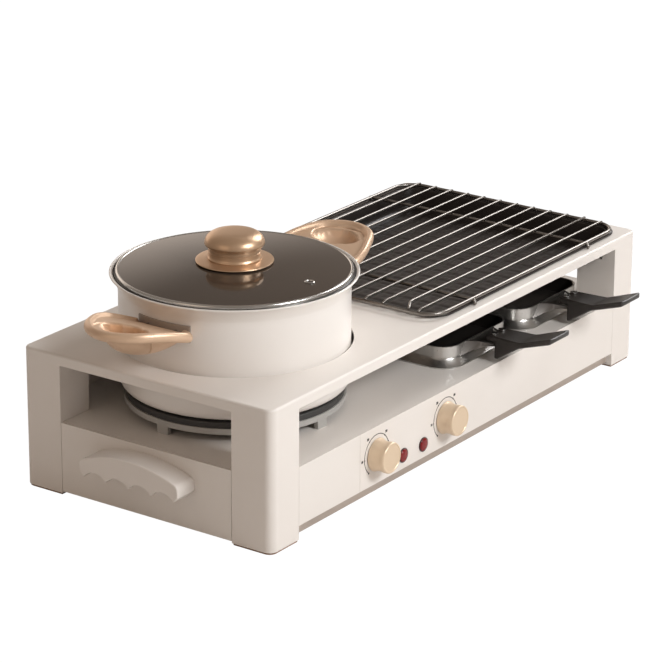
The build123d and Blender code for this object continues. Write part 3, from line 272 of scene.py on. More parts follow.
def bent_path(corners: list, radius: float, per_bend: int = 8) -> np.ndarray:
    """Points of a route of straight runs joined by tangent arcs.

    Formula: at each inner corner whose runs stand at an angle of 2b, the arc starts
    radius / tan(b) before it, round a centre at radius / sin(b) on the line that halves the angle.

    Args:
        corners: Corner points of the route.
        radius: Radius of each bend.
        per_bend: Points on each bend.

    Returns:
        An array of shape (n, 3).
    """
    pts = np.asarray(corners, float)
    out = [pts[:1]]
    t = np.linspace(0, 1, per_bend)[:, None]
    for before, corner, after in zip(pts[:-2], pts[1:-1], pts[2:]):
        u = (before - corner) / np.linalg.norm(before - corner)
        w = (after - corner) / np.linalg.norm(after - corner)
        half = math.acos(np.clip(u @ w, -1, 1)) / 2
        setback = radius / math.tan(half)
        middle = (u + w) / np.linalg.norm(u + w)
        centre = corner + middle * radius / math.sin(half)
        a, b = corner + u * setback - centre, corner + w * setback - centre
        turn = math.acos(np.clip((a @ b) / radius ** 2, -1, 1))
        out.append(centre + (np.sin((1 - t) * turn) * a + np.sin(t * turn) * b) / math.sin(turn))
    out.append(pts[-1:])
    return np.concatenate(out)


def tube(path: np.ndarray, radius: float, sides: int = 14, closed: bool = False) -> np.ndarray:
    """Grid of a round tube along a path.

    Formula: at each point a circle stands square to the mean of the two runs that meet there.
    Its first axis is square to the run and to X, or to Z where the path runs along X.

    Args:
        path: Points along the middle, shape (n, 3).
        radius: Radius of the tube.
        sides: Points round it.
        closed: Whether the path joins its own start.

    Returns:
        An array of shape (n, sides, 3).
    """
    tangent = np.roll(path, -1, 0) - np.roll(path, 1, 0) if closed else np.gradient(path, axis=0)
    tangent /= np.linalg.norm(tangent, axis=1, keepdims=True)
    axis = (1.0, 0, 0) if np.abs(tangent[:, 0]).max() < 0.9 else (0, 0, 1.0)
    side = np.cross(tangent, np.array(axis))
    side /= np.linalg.norm(side, axis=1, keepdims=True)
    rise = np.cross(tangent, side)
    angles = np.linspace(0, TURN, sides, endpoint=False)[None, :, None]
    circle = np.cos(angles) * side[:, None, :] + np.sin(angles) * rise[:, None, :]
    return path[:, None, :] + radius * circle


def add_rod(surface: Surface, path: np.ndarray, radius: float) -> None:
    """Adds a rod with domed ends to a surface.

    Formula: a tube with two more rings at each end. A ring's radius falls as the cosine of the
    dome's angle, and its place runs out as the sine, to 0.6 of the rod's radius.

    Args:
        surface: The surface that takes the rod.
        path: Points along the middle, shape (n, 3).
        radius: Radius of the rod.
    """
    body = tube(path, radius)
    turn = np.radians([35.0, 68.0])[:, None, None]
    ends = []
    for point, beyond in ((0, path[0] - path[1]), (-1, path[-1] - path[-2])):
        beyond = beyond / np.linalg.norm(beyond)
        ring = body[point] - path[point]
        ends.append(path[point] + ring * np.cos(turn) + beyond * radius * 0.6 * np.sin(turn))
    surface.add_loops(np.concatenate([ends[0][::-1], body, ends[1]]))


# Finishes

class Pattern(Enum):
    """How the fine detail of a finish runs. A value of three numbers stretches its coordinates."""

    GRAIN = (1, 1, 1)
    ALONG_X = (0.03, 1, 1)
    ALONG_Z = (1, 1, 0.03)
    SPUN = "spun"


@dataclass
class Bench:
    """Adds nodes to one tree, each with its settings and what feeds its inputs."""

    tree: bpy.types.NodeTree

    @classmethod
    def of(cls, owner: bpy.types.ID) -> Bench:
        """Empties the tree of a material or world and opens it.

        Args:
            owner: The material or world.

        Returns:
            A bench on its tree.
        """
        owner.use_nodes = True
        owner.node_tree.nodes.clear()
        return cls(owner.node_tree)

    def add(self, kind: str, feeds: dict | None = None,
            **settings: object) -> bpy.types.NodeOutputs:
        """Adds a node.

        Args:
            kind: Its type, without "ShaderNode" in front.
            feeds: For an input's name or number, a value or the output that feeds it.
            settings: Its own properties.

        Returns:
            The node's outputs.
        """
        node = self.tree.nodes.new(kind if kind.startswith("NodeGroup") else "ShaderNode" + kind)
        for key, value in settings.items():
            setattr(node, key, value)
        for key, value in (feeds or {}).items():
            if isinstance(value, bpy.types.NodeSocket):
                self.tree.links.new(value, node.inputs[key])
            else:
                node.inputs[key].default_value = value
        return node.outputs


def new_group(name: str, inputs: dict, outputs: tuple) -> Bench:
    """Makes a shader group with named sockets.

    Args:
        name: Name of the group.
        inputs: Default of each input: a tuple for a vector, else a number.
        outputs: Names of the outputs, which are numbers.

    Returns:
        A bench on the group's tree.
    """
    group = bpy.data.node_groups.new(name, "ShaderNodeTree")
    for label, default in inputs.items():
        kind = "NodeSocketVector" if isinstance(default, tuple) else "NodeSocketFloat"
        socket = group.interface.new_socket(name=label, in_out="INPUT", socket_type=kind)
        socket.default_value = default
    for label in outputs:
        group.interface.new_socket(name=label, in_out="OUTPUT", socket_type="NodeSocketFloat")
    return Bench(group)


def surface_detail_group() -> bpy.types.NodeTree:
    """Makes the shared group with broad Shade, fine Grain and scattered Specks.

    Returns:
        The group, whose outputs run from 0 to 1.
    """
    bench = new_group("surface_detail",
                      {"Vector": (0, 0, 0), "Broad Scale": 9.0, "Fine Scale": 900.0,
                       "Stretch": (1, 1, 1)}, ("Shade", "Grain", "Specks"))
    source = bench.add("NodeGroupInput")
    place, scale = source["Vector"], source["Fine Scale"]
    stretched = bench.add("VectorMath", {0: place, 1: source["Stretch"]}, operation="MULTIPLY")
    broad = bench.add("TexNoise", {"Vector": place, "Scale": source["Broad Scale"], "Detail": 3.0})
    fine = bench.add("TexNoise", {"Vector": stretched["Vector"], "Scale": scale, "Detail": 2.0})
    cells = bench.add("TexVoronoi", {"Vector": place, "Scale": scale})
    specks = bench.add("MapRange", {"Value": cells["Distance"], "From Min": 0.10,
                                    "From Max": 0.22, "To Min": 1.0, "To Max": 0.0})
    bench.add("NodeGroupOutput", {"Shade": broad["Fac"], "Grain": fine["Fac"],
                                  "Specks": specks["Result"]})
    return bench.tree


def spun_detail_group() -> bpy.types.NodeTree:
    """Makes the shared group with fine Rings round an upright axis, as a lathe leaves them.

    Formula: noise read at (distance from the axis, height), so that it doesn't change round it.

    Returns:
        The group, whose output runs from 0 to 1.
    """
    bench = new_group("spun_detail", {"Vector": (0, 0, 0), "Scale": 700.0}, ("Rings",))
    source = bench.add("NodeGroupInput")
    split = bench.add("SeparateXYZ", {0: source["Vector"]})
    flat = bench.add("CombineXYZ", {"X": split["X"], "Y": split["Y"]})
    length = bench.add("VectorMath", {0: flat[0]}, operation="LENGTH")
    place = bench.add("CombineXYZ", {"X": length["Value"], "Y": split["Z"]})
    noise = bench.add("TexNoise", {"Vector": place[0], "Scale": source["Scale"], "Detail": 2.0})
    bench.add("NodeGroupOutput", {"Rings": noise["Fac"]})
    return bench.tree


@dataclass(frozen=True)
class Finish:
    """One surface finish and the sizes of its detail.

    Colours are linear. Shade is the colour that the broad variation drifts to, spread is how far
    the roughness drifts, bump is the height of the fine detail in millimetres, and specks is how
    much of the light specks shows.
    """

    name: str
    base: tuple
    shade: tuple
    roughness: float
    spread: float
    metallic: float = 0.0
    bump: float = 0.004
    fine_scale: float = 900.0
    broad_scale: float = 9.0
    pattern: Pattern = Pattern.GRAIN
    specks: float = 0.0
    coat: float = 0.0
    coat_roughness: float = 0.1
    transmission: float = 0.0

    def build(self, groups: dict) -> bpy.types.Material:
        """Makes the material from Object coordinates and the shared groups.

        Args:
            groups: The shared groups by name.

        Returns:
            The new material.
        """
        material = bpy.data.materials.new(self.name)
        bench = Bench.of(material)
        spun = self.pattern is Pattern.SPUN
        shift = [-c * MM for c in POT_AXIS] if spun else (0, 0, 0)
        source = bench.add("TexCoord")["Object"]
        place = bench.add("Mapping", {"Vector": source, "Location": shift})[0]
        stretch = (Pattern.GRAIN if spun else self.pattern).value
        detail = bench.add("Group", {"Vector": place, "Broad Scale": self.broad_scale,
                                     "Stretch": stretch, "Fine Scale": self.fine_scale},
                           node_tree=groups["surface"])
        fine = detail["Grain"]
        if spun:
            fine = bench.add("Group", {"Vector": place, "Scale": self.fine_scale},
                             node_tree=groups["spun"])["Rings"]
        blend = {"Factor": detail["Shade"], "A": (*self.base, 1), "B": (*self.shade, 1)}
        colour = bench.add("Mix", blend, data_type="RGBA")["Result"]
        if self.specks > 0:
            amount = {0: detail["Specks"], 1: self.specks}
            light = (*(min(1.0, c * 2.2 + 0.02) for c in self.base), 1)
            blend = {"Factor": bench.add("Math", amount, operation="MULTIPLY")[0],
                     "A": colour, "B": light}
            colour = bench.add("Mix", blend, data_type="RGBA")["Result"]
        rough = bench.add("MapRange", {"Value": fine,
                                       "To Min": max(0.0, self.roughness - self.spread),
                                       "To Max": min(1.0, self.roughness + self.spread)})
        feeds = {"Base Color": colour, "Roughness": rough["Result"], "Metallic": self.metallic,
                 "IOR": 1.5, "Coat Weight": self.coat, "Coat Roughness": self.coat_roughness,
                 "Transmission Weight": self.transmission}
        if self.bump > 0:
            relief = {"Height": fine, "Distance": self.bump * MM, "Strength": 1.0}
            feeds["Normal"] = bench.add("Bump", relief)[0]
        bench.add("OutputMaterial", {0: bench.add("BsdfPrincipled", feeds)[0]})
        return material


FINISHES = (
    Finish("cream_paint", (0.80, 0.755, 0.71), (0.77, 0.725, 0.68), 0.42, 0.05,
           bump=0.012, fine_scale=1400.0),
    Finish("cream_plastic", (0.80, 0.755, 0.71), (0.77, 0.72, 0.675), 0.46, 0.06,
           bump=0.02, fine_scale=1100.0),
    Finish("cream_enamel", (0.82, 0.78, 0.74), (0.80, 0.76, 0.72), 0.30, 0.02,
           bump=0.001, fine_scale=60.0, coat=0.30, coat_roughness=0.12),
    Finish("gold_plastic", (0.73, 0.52, 0.36), (0.67, 0.47, 0.325), 0.42, 0.05, 0.45,
           bump=0.006, fine_scale=1500.0, specks=0.06),
    Finish("dial_plastic", (0.80, 0.64, 0.47), (0.76, 0.60, 0.43), 0.38, 0.04, 0.45,
           bump=0.006, fine_scale=1500.0, specks=0.08),
    Finish("gold_metal", (0.68, 0.47, 0.31), (0.60, 0.41, 0.265), 0.37, 0.06, 0.78,
           fine_scale=1500.0, pattern=Pattern.SPUN),
    Finish("dark_glass", (0.080, 0.059, 0.045), (0.075, 0.055, 0.041), 0.09, 0.01,
           bump=0.0, transmission=0.25),
    # Dark non-stick coat inside the pot and pans, and also painted shade on the lid's channel and
    # in its vent.
    Finish("dark_lining", (0.020, 0.017, 0.015), (0.026, 0.022, 0.020), 0.40, 0.05),
    Finish("pan_steel", (0.66, 0.65, 0.63), (0.54, 0.53, 0.51), 0.30, 0.06, 1.0,
           fine_scale=700.0, pattern=Pattern.ALONG_X),
    Finish("neck_steel", (0.22, 0.205, 0.19), (0.16, 0.15, 0.14), 0.34, 0.06, 0.9,
           fine_scale=700.0, pattern=Pattern.ALONG_X),
    Finish("steel", (0.62, 0.61, 0.59), (0.52, 0.51, 0.49), 0.24, 0.06, 1.0,
           fine_scale=700.0, pattern=Pattern.ALONG_X),
    Finish("chrome_wire", (0.27, 0.25, 0.23), (0.22, 0.205, 0.19), 0.34, 0.05, 1.0,
           fine_scale=500.0),
    # A darker, browner, less metallic copy of steel: painted shade on the plates under the
    # handles.
    Finish("bracket_steel", (0.40, 0.35, 0.31), (0.36, 0.31, 0.275), 0.50, 0.06, 0.3,
           fine_scale=700.0),
    # Beige-brown rather than grey zinc: painted shade, so that the floor pan's edge under the
    # front panel reads as a shadow strip.
    Finish("zinc_sheet", (0.50, 0.43, 0.38), (0.44, 0.37, 0.32), 0.42, 0.08, 0.35,
           fine_scale=300.0, broad_scale=30.0),
    Finish("black_coat", (0.016, 0.012, 0.010), (0.024, 0.018, 0.015), 0.38, 0.08,
           bump=0.03, fine_scale=1600.0, specks=0.12),
    Finish("black_plastic", (0.018, 0.015, 0.013), (0.026, 0.021, 0.018), 0.42, 0.08,
           bump=0.03, fine_scale=1500.0),
    Finish("hob_iron", (0.045, 0.044, 0.043), (0.065, 0.063, 0.061), 0.55, 0.10, 0.3,
           bump=0.03, pattern=Pattern.SPUN),
    Finish("hob_sheet", (0.48, 0.47, 0.45), (0.42, 0.41, 0.39), 0.40, 0.06, 0.2, bump=0.01),
    Finish("element_steel", (0.10, 0.095, 0.09), (0.16, 0.14, 0.12), 0.45, 0.10, 0.8,
           bump=0.01, broad_scale=40.0),
    Finish("red_lens", (0.22, 0.003, 0.005), (0.16, 0.002, 0.004), 0.20, 0.03,
           bump=0.02, fine_scale=400.0, coat=0.1, pattern=Pattern.ALONG_Z),
    Finish("red_shade", (0.045, 0.003, 0.004), (0.035, 0.002, 0.003), 0.30, 0.03, bump=0.0),
    Finish("brown_rubber", (0.28, 0.15, 0.08), (0.22, 0.12, 0.06), 0.70, 0.08, bump=0.03),
    Finish("scale_ink", (0.022, 0.019, 0.017), (0.030, 0.026, 0.023), 0.55, 0.05, bump=0.0),
)


# Sub-assemblies

@dataclass
class Assembly:
    """What every sub-assembly shares: the frame and the materials by name."""

    frame: dict
    materials: dict

    def finish(self, piece: bpy.types.Object, body: str, look: str, *nodes: str,
               slot: str | None = None) -> None:
        """Dresses a piece, lets it ride on a body and puts it in place of CAD nodes.

        Args:
            piece: The piece.
            body: Name of the body that it moves with.
            look: Name of its finish.
            nodes: CAD nodes that it stands for.
            slot: Name of the record's slot, where it differs from the finish; not used.
        """
        piece.data.materials.clear()
        piece.data.materials.append(self.materials[look])
        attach(piece, body)
        if nodes:
            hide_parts(*nodes)
        slot or look
        LOG.info("piece %s rides on %s", piece.name, body)

    def turn(self, name: str, body: str, look: str, profile: list, *nodes: str,
             slot: str | None = None, centre: tuple = POT_AXIS, segments: int = 160,
             along: str = "z") -> None:
        """Builds a piece from a turned profile and finishes it (see turned_piece and finish)."""
        piece = turned_piece(name, profile, centre, segments, along)
        self.finish(piece, body, look, *nodes, slot=slot)

    def dress(self, look: str, nodes: str) -> None:
        """Dresses CAD nodes whose own shape stays.

        Args:
            look: Name of their finish.
            nodes: Their names, with blanks between them.
        """
        for name in nodes.split():
            for material_slot in self.frame["nodes"][name].material_slots:
                material_slot.material = self.materials[look]
            LOG.info("node %s dressed in %s", name, look)

    def shape_of(self, node: str) -> bmesh.types.BMesh:
        """Copies a CAD node's shape.

        Args:
            node: Name of the node.

        Returns:
            The shape, in the cooker's frame.
        """
        source = self.frame["nodes"][node]
        shape = bmesh.new()
        shape.from_mesh(source.data)
        shape.transform(source.matrix_world)
        return shape

    @staticmethod
    def piece_of(name: str, shape: bmesh.types.BMesh) -> bpy.types.Object:
        """Turns a shape into a piece and frees it.

        Args:
            name: Name of the piece.
            shape: The shape.

        Returns:
            The piece.
        """
        mesh = bpy.data.meshes.new(name)
        shape.to_mesh(mesh)
        shape.free()
        return add_object(name, mesh)


@dataclass
class Housing(Assembly):
    """Deck, posts, panels, floor, drawer and inner hardware."""

    pull_edge: float = 3.0
    pull_steps: int = 4
    pull_angle: float = 30.0
    pull_merge: float = 0.01
    pull_flat: float = 0.5

    def build(self) -> None:
        """Dresses the housing's CAD nodes and builds the drawer's pull."""
        self.dress("cream_paint", "deck front_panel rear_panel rear_screen end_panel base_top "
                                  "drawer_front")
        self.dress("cream_plastic", "corner_post_front_left corner_post_front_right "
                                    "corner_post_rear_left corner_post_rear_right "
                                    "control_panel drawer_bin")
        self.dress("brown_rubber", "foot_pads")
        self.dress("zinc_sheet", "floor_pan drawer_rails element_strap_left "
                                 "element_strap_right wire_duct")
        self.dress("steel", "deck_screws drawer_screws hob_shaft grill_shaft")
        self.dress("element_steel", "grill_element")
        self.dress("black_plastic", "hob_thermostat grill_thermostat lamp_holders mains_inlet "
                                    "terminal_block")
        self.pull()

    def pull(self) -> None:
        """Builds the drawer's pull: the moulding's own shape with its sharp edges rounded over."""
        shape = self.shape_of("drawer_pull")
        bmesh.ops.remove_doubles(shape, verts=shape.verts, dist=self.pull_merge * MM)
        bmesh.ops.dissolve_limit(shape, angle_limit=math.radians(self.pull_flat),
                                 verts=shape.verts, edges=shape.edges)
        limit = math.radians(self.pull_angle)
        sharp = [edge for edge in shape.edges
                 if len(edge.link_faces) == 2 and edge.calc_face_angle(0.0) > limit]
        bmesh.ops.bevel(shape, geom=sharp, offset=self.pull_edge * MM, offset_type="OFFSET",
                        segments=self.pull_steps, profile=0.5, affect="EDGES",
                        clamp_overlap=True)
        piece = self.piece_of("pull_grip", shape)
        smooth(piece.data, 40.0)
        self.finish(piece, "drawer", "cream_plastic", "drawer_pull")


@dataclass
class Hob(Assembly):
    """Hot plate on its ring, with the coil, stud and nut below it."""

    def build(self) -> None:
        """Dresses the hob's CAD nodes."""
        self.dress("hob_iron", "hob_plate")
        self.dress("hob_sheet", "hob_ring")
        self.dress("element_steel", "hob_coil")
        self.dress("steel", "hob_stud hob_nut")


@dataclass
class Controls(Assembly):
    """Dials with their printed scales, and the pilot lamps.

    The size of a dot or tick is half its height in millimetres and half its width in degrees.
    """

    height: float = 42.0
    dial_places: tuple = (155.5, 264.5)
    lamp_places: tuple = (196.8, 228.8)
    lamp_height: float = 27.4
    scale_radius: float = 18.8
    scale_line: float = 0.7
    scale_sweep: tuple = (22.0, 228.0)
    dots: tuple = (21.0, 229.0)
    dot_size: tuple = (0.8, 2.2)
    ticks: tuple = ((50.0, "30"), (127.5, "20"), (181.5, "10"))
    tick_size: tuple = (0.7, 1.4)
    number_size: float = 3.0
    number_weight: float = 0.2
    number_gap: float = 3.7
    ink: float = 0.12

    def build(self) -> None:
        """Builds both dials, both scales and both lamps."""
        for label, place in zip(("hob", "grill"), self.dial_places):
            self.dial(label, X_LEFT + place)
            self.scale(label, X_LEFT + place)
        for label, place in zip(("hob", "grill"), self.lamp_places):
            self.lamp(label, X_LEFT + place)

    def dial(self, label: str, x: float) -> None:
        """Builds a dial: a flared skirt, a waist and a raised edge.

        Args:
            label: Name of the heater.
            x: Place of its middle.
        """
        profile = [(0.0, 0.5), (14.9, 0.5), (15.2, 0.9), (15.1, 1.5), (14.7, 2.3), (14.2, 3.4),
                   (13.8, 5.0), (13.6, 7.0), (13.6, 9.2), (13.7, 10.6), (13.95, 11.4),
                   (14.15, 12.0), (14.15, 15.1), (13.9, 15.9), (13.35, 16.35), (12.8, 16.5),
                   (12.4, 16.35), (12.1, 16.0), (8.0, 16.0), (0.0, 16.05)]
        self.turn(f"{label}_dial", f"{label}_control", "dial_plastic", profile, f"{label}_knob",
                  slot="gold_plastic", centre=(x, Y_FRONT, self.height), segments=96, along="-y")

    def scale(self, label: str, x: float) -> None:
        """Builds a dial's printed scale: a thin arc, two end dots, three ticks and plain numbers.

        Formula: strips between two radii and two angles, standing proud of the panel by the ink.

        Args:
            label: Name of the heater.
            x: Place of the dial's middle.
        """
        spans = [(self.scale_line / 2, *self.scale_sweep)]
        for turn in self.dots:
            spans.append((self.dot_size[0], turn - self.dot_size[1], turn + self.dot_size[1]))
        for turn, text in self.ticks:
            spans.append((self.tick_size[0], turn - self.tick_size[1], turn + self.tick_size[1]))
        surface = Surface()
        for reach, first, last in spans:
            inner, outer = self.scale_radius - reach, self.scale_radius + reach
            steps = max(3, int((last - first) / 4) + 2)
            angles = np.radians(np.linspace(first, last, steps))[:, None]
            radius = np.array([[inner, outer, outer, inner]])
            proud = np.array([[0, 0, self.ink, self.ink]])
            surface.add_loops(np.stack([x + radius * np.cos(angles), Y_FRONT - proud + 0 * angles,
                                        self.height + radius * np.sin(angles)], -1))
        self.finish(surface.piece(f"{label}_scale"), "housing", "scale_ink", slot="black_plastic")
        for turn, text in self.ticks:
            self.number(f"{label}_number_{text}", text, x, math.radians(turn))

    def number(self, name: str, text: str, x: float, turn: float) -> None:
        """Prints one plain number beside a tick.

        Args:
            name: Name of the piece.
            text: The number.
            x: Place of the dial's middle.
            turn: Angle of its tick, from +X towards up.
        """
        curve = bpy.data.curves.new(name, "FONT")
        curve.body = text
        curve.size = self.number_size * MM
        curve.offset = self.number_weight * MM
        curve.extrude = self.ink / 2 * MM
        curve.align_x = curve.align_y = "CENTER"
        letter = add_object(name + "_text", curve)
        bpy.context.view_layer.update()
        mesh = bpy.data.meshes.new_from_object(letter)
        bpy.data.objects.remove(letter)
        reach = self.scale_radius + self.number_gap
        place = Vector((x + reach * math.cos(turn), Y_FRONT - self.ink / 2,
                        self.height + reach * math.sin(turn))) * MM
        mesh.transform(Matrix.Translation(place) @ Matrix.Rotation(math.radians(90), 4, "X"))
        self.finish(add_object(name, mesh), "housing", "scale_ink", slot="black_plastic")

    def lamp(self, label: str, x: float) -> None:
        """Builds a pilot lamp: a low dome with a rolled foot.

        Args:
            label: Name of the heater.
            x: Place of its middle.
        """
        dome = [(0.0, -2.9), (4.3, -2.9), (4.3, 0.05), (6.1, 0.05), (6.1, 0.8), (5.8, 1.4),
                (5.1, 1.95), (3.9, 2.35), (2.4, 2.55), (0.0, 2.6)]
        foot = [(6.0, 0.05), (6.7, 0.05), (6.85, 0.5), (6.7, 1.0), (6.4, 1.2), (6.0, 1.1),
                (6.0, 0.05)]
        for form, profile, look in (("lens", dome, "red_lens"), ("lens_foot", foot, "red_shade")):
            self.turn(f"{label}_{form}", "housing", look, profile, f"{label}_lamp_lens",
                      slot="red_lens", centre=(x, Y_FRONT, self.lamp_height), segments=48,
                      along="-y")


@dataclass
class Pot(Assembly):
    """Enamelled pot with a flared rim and two dished handles.

    A keel or a pocket is the lower half of an ellipsoid: its middle's distance from the pot's
    axis, its level, and its reach along, across and down. The eye is its near and far end and
    half its width.
    """

    radius: float = 102.5
    wall: float = 2.2
    rim_radius: float = 110.0
    rim_height: float = 193.1
    flare: float = 14.1
    flare_power: float = 1.35
    bottom: float = 87.0
    plate: float = 1.6
    foot: float = 9.0
    coat: float = 0.25
    coat_gap: float = 0.05
    loop_line: tuple = ((100.3, 27.0), (124.0, 46.5), (161.0, 36.0), (179.0, 21.5), (186.0, 0.0))
    loop_heights: tuple = ((100.3, 170.6), (143.15, 184.4), (186.0, 188.8))
    loop_thickness: float = 9.0
    root_gap: float = 0.3
    band_width: float = 5.0
    band_rise: float = 3.2
    band_ease: float = 3.5
    edge_in: float = 2.2
    edge_out: float = 3.4
    edge_root: float = 0.4
    eye: tuple = (143.0, 172.5, 25.5)
    keel: tuple = (120.0, 178.0, 50.0, 31.0, 24.0)
    pocket: tuple = (142.0, 184.0, 29.0, 26.0, 20.0)
    cup_wall: float = 1.2
    cup_lap: float = 0.4
    bracket_top: float = 174.6

    def build(self) -> None:
        """Builds the shell, both handles and their plates, and dresses the small parts."""
        self.shell()
        for label, side in (("left", -1), ("right", 1)):
            self.handle(label, side)
        self.dress("steel", "pot_base_plate handle_screws")
        self.brackets()

    def wall_profile(self, radius: float, rim: float, floor: float, foot: float) -> list:
        """Half section of one side of the shell from its axis to its rim.

        Formula: a flat floor, a quarter circle of the foot radius, a straight wall, and a flare
        whose reach grows as the flare power of its height.

        Args:
            radius: Radius of the wall.
            rim: Radius at the rim.
            floor: Height of the floor.
            foot: Radius of the rounded foot.

        Returns:
            (radius, height) pairs.
        """
        start = self.rim_height - self.flare
        share = np.linspace(0, 1, 13)
        flare = list(zip(radius + (rim - radius) * share ** self.flare_power,
                         start + self.flare * share))
        return ([(0.0, floor), (radius * 0.5, floor)]
                + arc((radius - foot, floor + foot), foot, -90, 0, 10)
                + [(radius, floor + 3 * foot), (radius, (floor + start) / 2), (radius, start - 4)]
                + flare)

    def shell(self) -> None:
        """Builds the shell with its rounded lip, and the dark lining inside it."""
        wall, gap = self.wall, self.coat_gap
        floor = self.bottom + self.plate
        outer = self.wall_profile(self.radius, self.rim_radius, floor, self.foot)
        inner = self.wall_profile(self.radius - wall, self.rim_radius - wall, floor + wall,
                                  self.foot - wall)
        lip = arc((self.rim_radius - wall / 2, self.rim_height - wall / 2), wall / 2, 0, 180, 9)
        profile = outer[:-1] + lip + inner[::-1][1:]
        self.turn("pot_wall", "pot", "cream_enamel", profile, "pot_shell")
        near = self.wall_profile(self.radius - wall - gap, self.rim_radius - wall + 3 * gap,
                                 floor + wall + gap, self.foot - wall)[:-1]
        flat = self.radius - wall - self.foot
        far = [(max(r - self.coat, 0.0), z + (self.coat if r < flat else 0.0)) for r, z in near]
        self.turn("pot_lining", "pot", "dark_lining", near + far[::-1], slot="black_coat")

    def outline(self) -> np.ndarray:
        """Plan of a handle that points to +X.

        Formula: a Catmull-Rom curve through the loop's named points and their mirror images,
        closed by a root that follows the pot's wall.

        Returns:
            A dense closed line, shape (n, 2).
        """
        half = np.asarray(self.loop_line, float)
        points = np.concatenate([half * (1, -1), half[::-1][1:]])
        before, beyond = 2 * points[:1] - points[1:2], 2 * points[-1:] - points[-2:-1]
        points = np.concatenate([before, points, beyond])
        t = np.linspace(0, 1, 60, endpoint=False)[:, None]
        runs = []
        for p0, p1, p2, p3 in zip(points[:-3], points[1:-2], points[2:-1], points[3:]):
            runs.append(0.5 * (2 * p1 + (p2 - p0) * t + (2 * p0 - 5 * p1 + 4 * p2 - p3) * t ** 2
                               + (3 * p1 - p0 - 3 * p2 + p3) * t ** 3))
        across = np.linspace(half[0, 1], -half[0, 1], 120)
        root = np.sqrt((self.radius + self.root_gap) ** 2 - across ** 2)
        return np.concatenate(runs + [np.stack([root, across], -1)])

    def eye_outline(self) -> np.ndarray:
        """Plan of the finger eye: two half circles joined by straight sides.

        Returns:
            A dense closed line, shape (n, 2).
        """
        near, far, half = self.eye
        radius, middle = (far - near) / 2, (near + far) / 2
        ends = []
        for side, first in ((1, 0), (-1, 180)):
            turn = np.radians(np.linspace(first, first + 180, 120))
            across = side * (half - radius) + radius * np.sin(turn)
            ends.append(np.stack([middle + radius * np.cos(turn), across], -1))
        return np.concatenate(ends)

    def loop_top(self, u: np.ndarray) -> np.ndarray:
        """Height of the loop's upper surface at some distances from the pot's axis.

        Formula: the parabola through the loop's three named heights.

        Args:
            u: The distances.

        Returns:
            The height at each.
        """
        (a, za), (b, zb), (c, zc) = self.loop_heights
        return (za * (u - b) * (u - c) / ((a - b) * (a - c))
                + zb * (u - a) * (u - c) / ((b - a) * (b - c))
                + zc * (u - a) * (u - b) / ((c - a) * (c - b)))

    @staticmethod
    def half_ball(form: tuple, u: np.ndarray, v: np.ndarray) -> np.ndarray:
        """Height of the lower half of an ellipsoid.

        Formula: level - depth * sqrt(1 - x^2/a^2 - y^2/b^2), and infinite outside it.

        Args:
            form: The keel or the pocket.
            u: Distances along the handle from the pot's axis.
            v: Distances across it.

        Returns:
            The height at each.
        """
        centre, level, reach, width, depth = form
        inside = 1 - ((u - centre) / reach) ** 2 - (v / width) ** 2
        return np.where(inside > 0, level - depth * np.sqrt(np.clip(inside, 0, 1)), np.inf)

    def brackets(self) -> None:
        """Builds the plates behind the handles: the node's shape with a lower upper edge, coloured
        as a darker, browner steel for painted shade under the handles.
        """
        shape = self.shape_of("handle_brackets")
        for vertex in shape.verts:
            vertex.co.z = min(vertex.co.z, self.bracket_top * MM)
        piece = self.piece_of("handle_plates", shape)
        self.finish(piece, "pot", "bracket_steel", "handle_brackets", slot="steel")

    def handle(self, label: str, side: int) -> None:
        """Builds a handle: a curved loop with a raised band, and a keel with a finger pocket.

        Formula: rays from the eye's middle cut the eye and the outline. Along each ray a closed
        section runs over the top and back underneath. Its edges follow quarter circles. Inside
        the band the top sinks by the band's rise, eased as 3t^2 - 2t^3, and the underside is the
        lower of the loop's and the keel's.

        Args:
            label: "left" or "right".
            side: -1 or 1, the side that it points to.
        """
        centre = np.array([(self.eye[0] + self.eye[1]) / 2, 0.0])
        corner = math.atan2(self.loop_line[0][1], self.loop_line[0][0] - centre[0])
        turns = np.linspace(-math.pi, math.pi, 200, endpoint=False)
        extra = [corner, -corner, corner - 0.015, 0.015 - corner]
        turns = np.sort(np.concatenate([turns, extra]))

        def reach_at(line: np.ndarray) -> np.ndarray:
            """Distance from the eye's middle to a closed line in each direction.

            Args:
                line: Points of the line, shape (n, 2).

            Returns:
                An array of shape (directions, 1).
            """
            offset = line - centre
            angle = np.arctan2(offset[:, 1], offset[:, 0])
            order = np.argsort(angle)
            reach = np.hypot(*offset.T)[order]
            return np.interp(turns, angle[order], reach, period=TURN)[:, None]

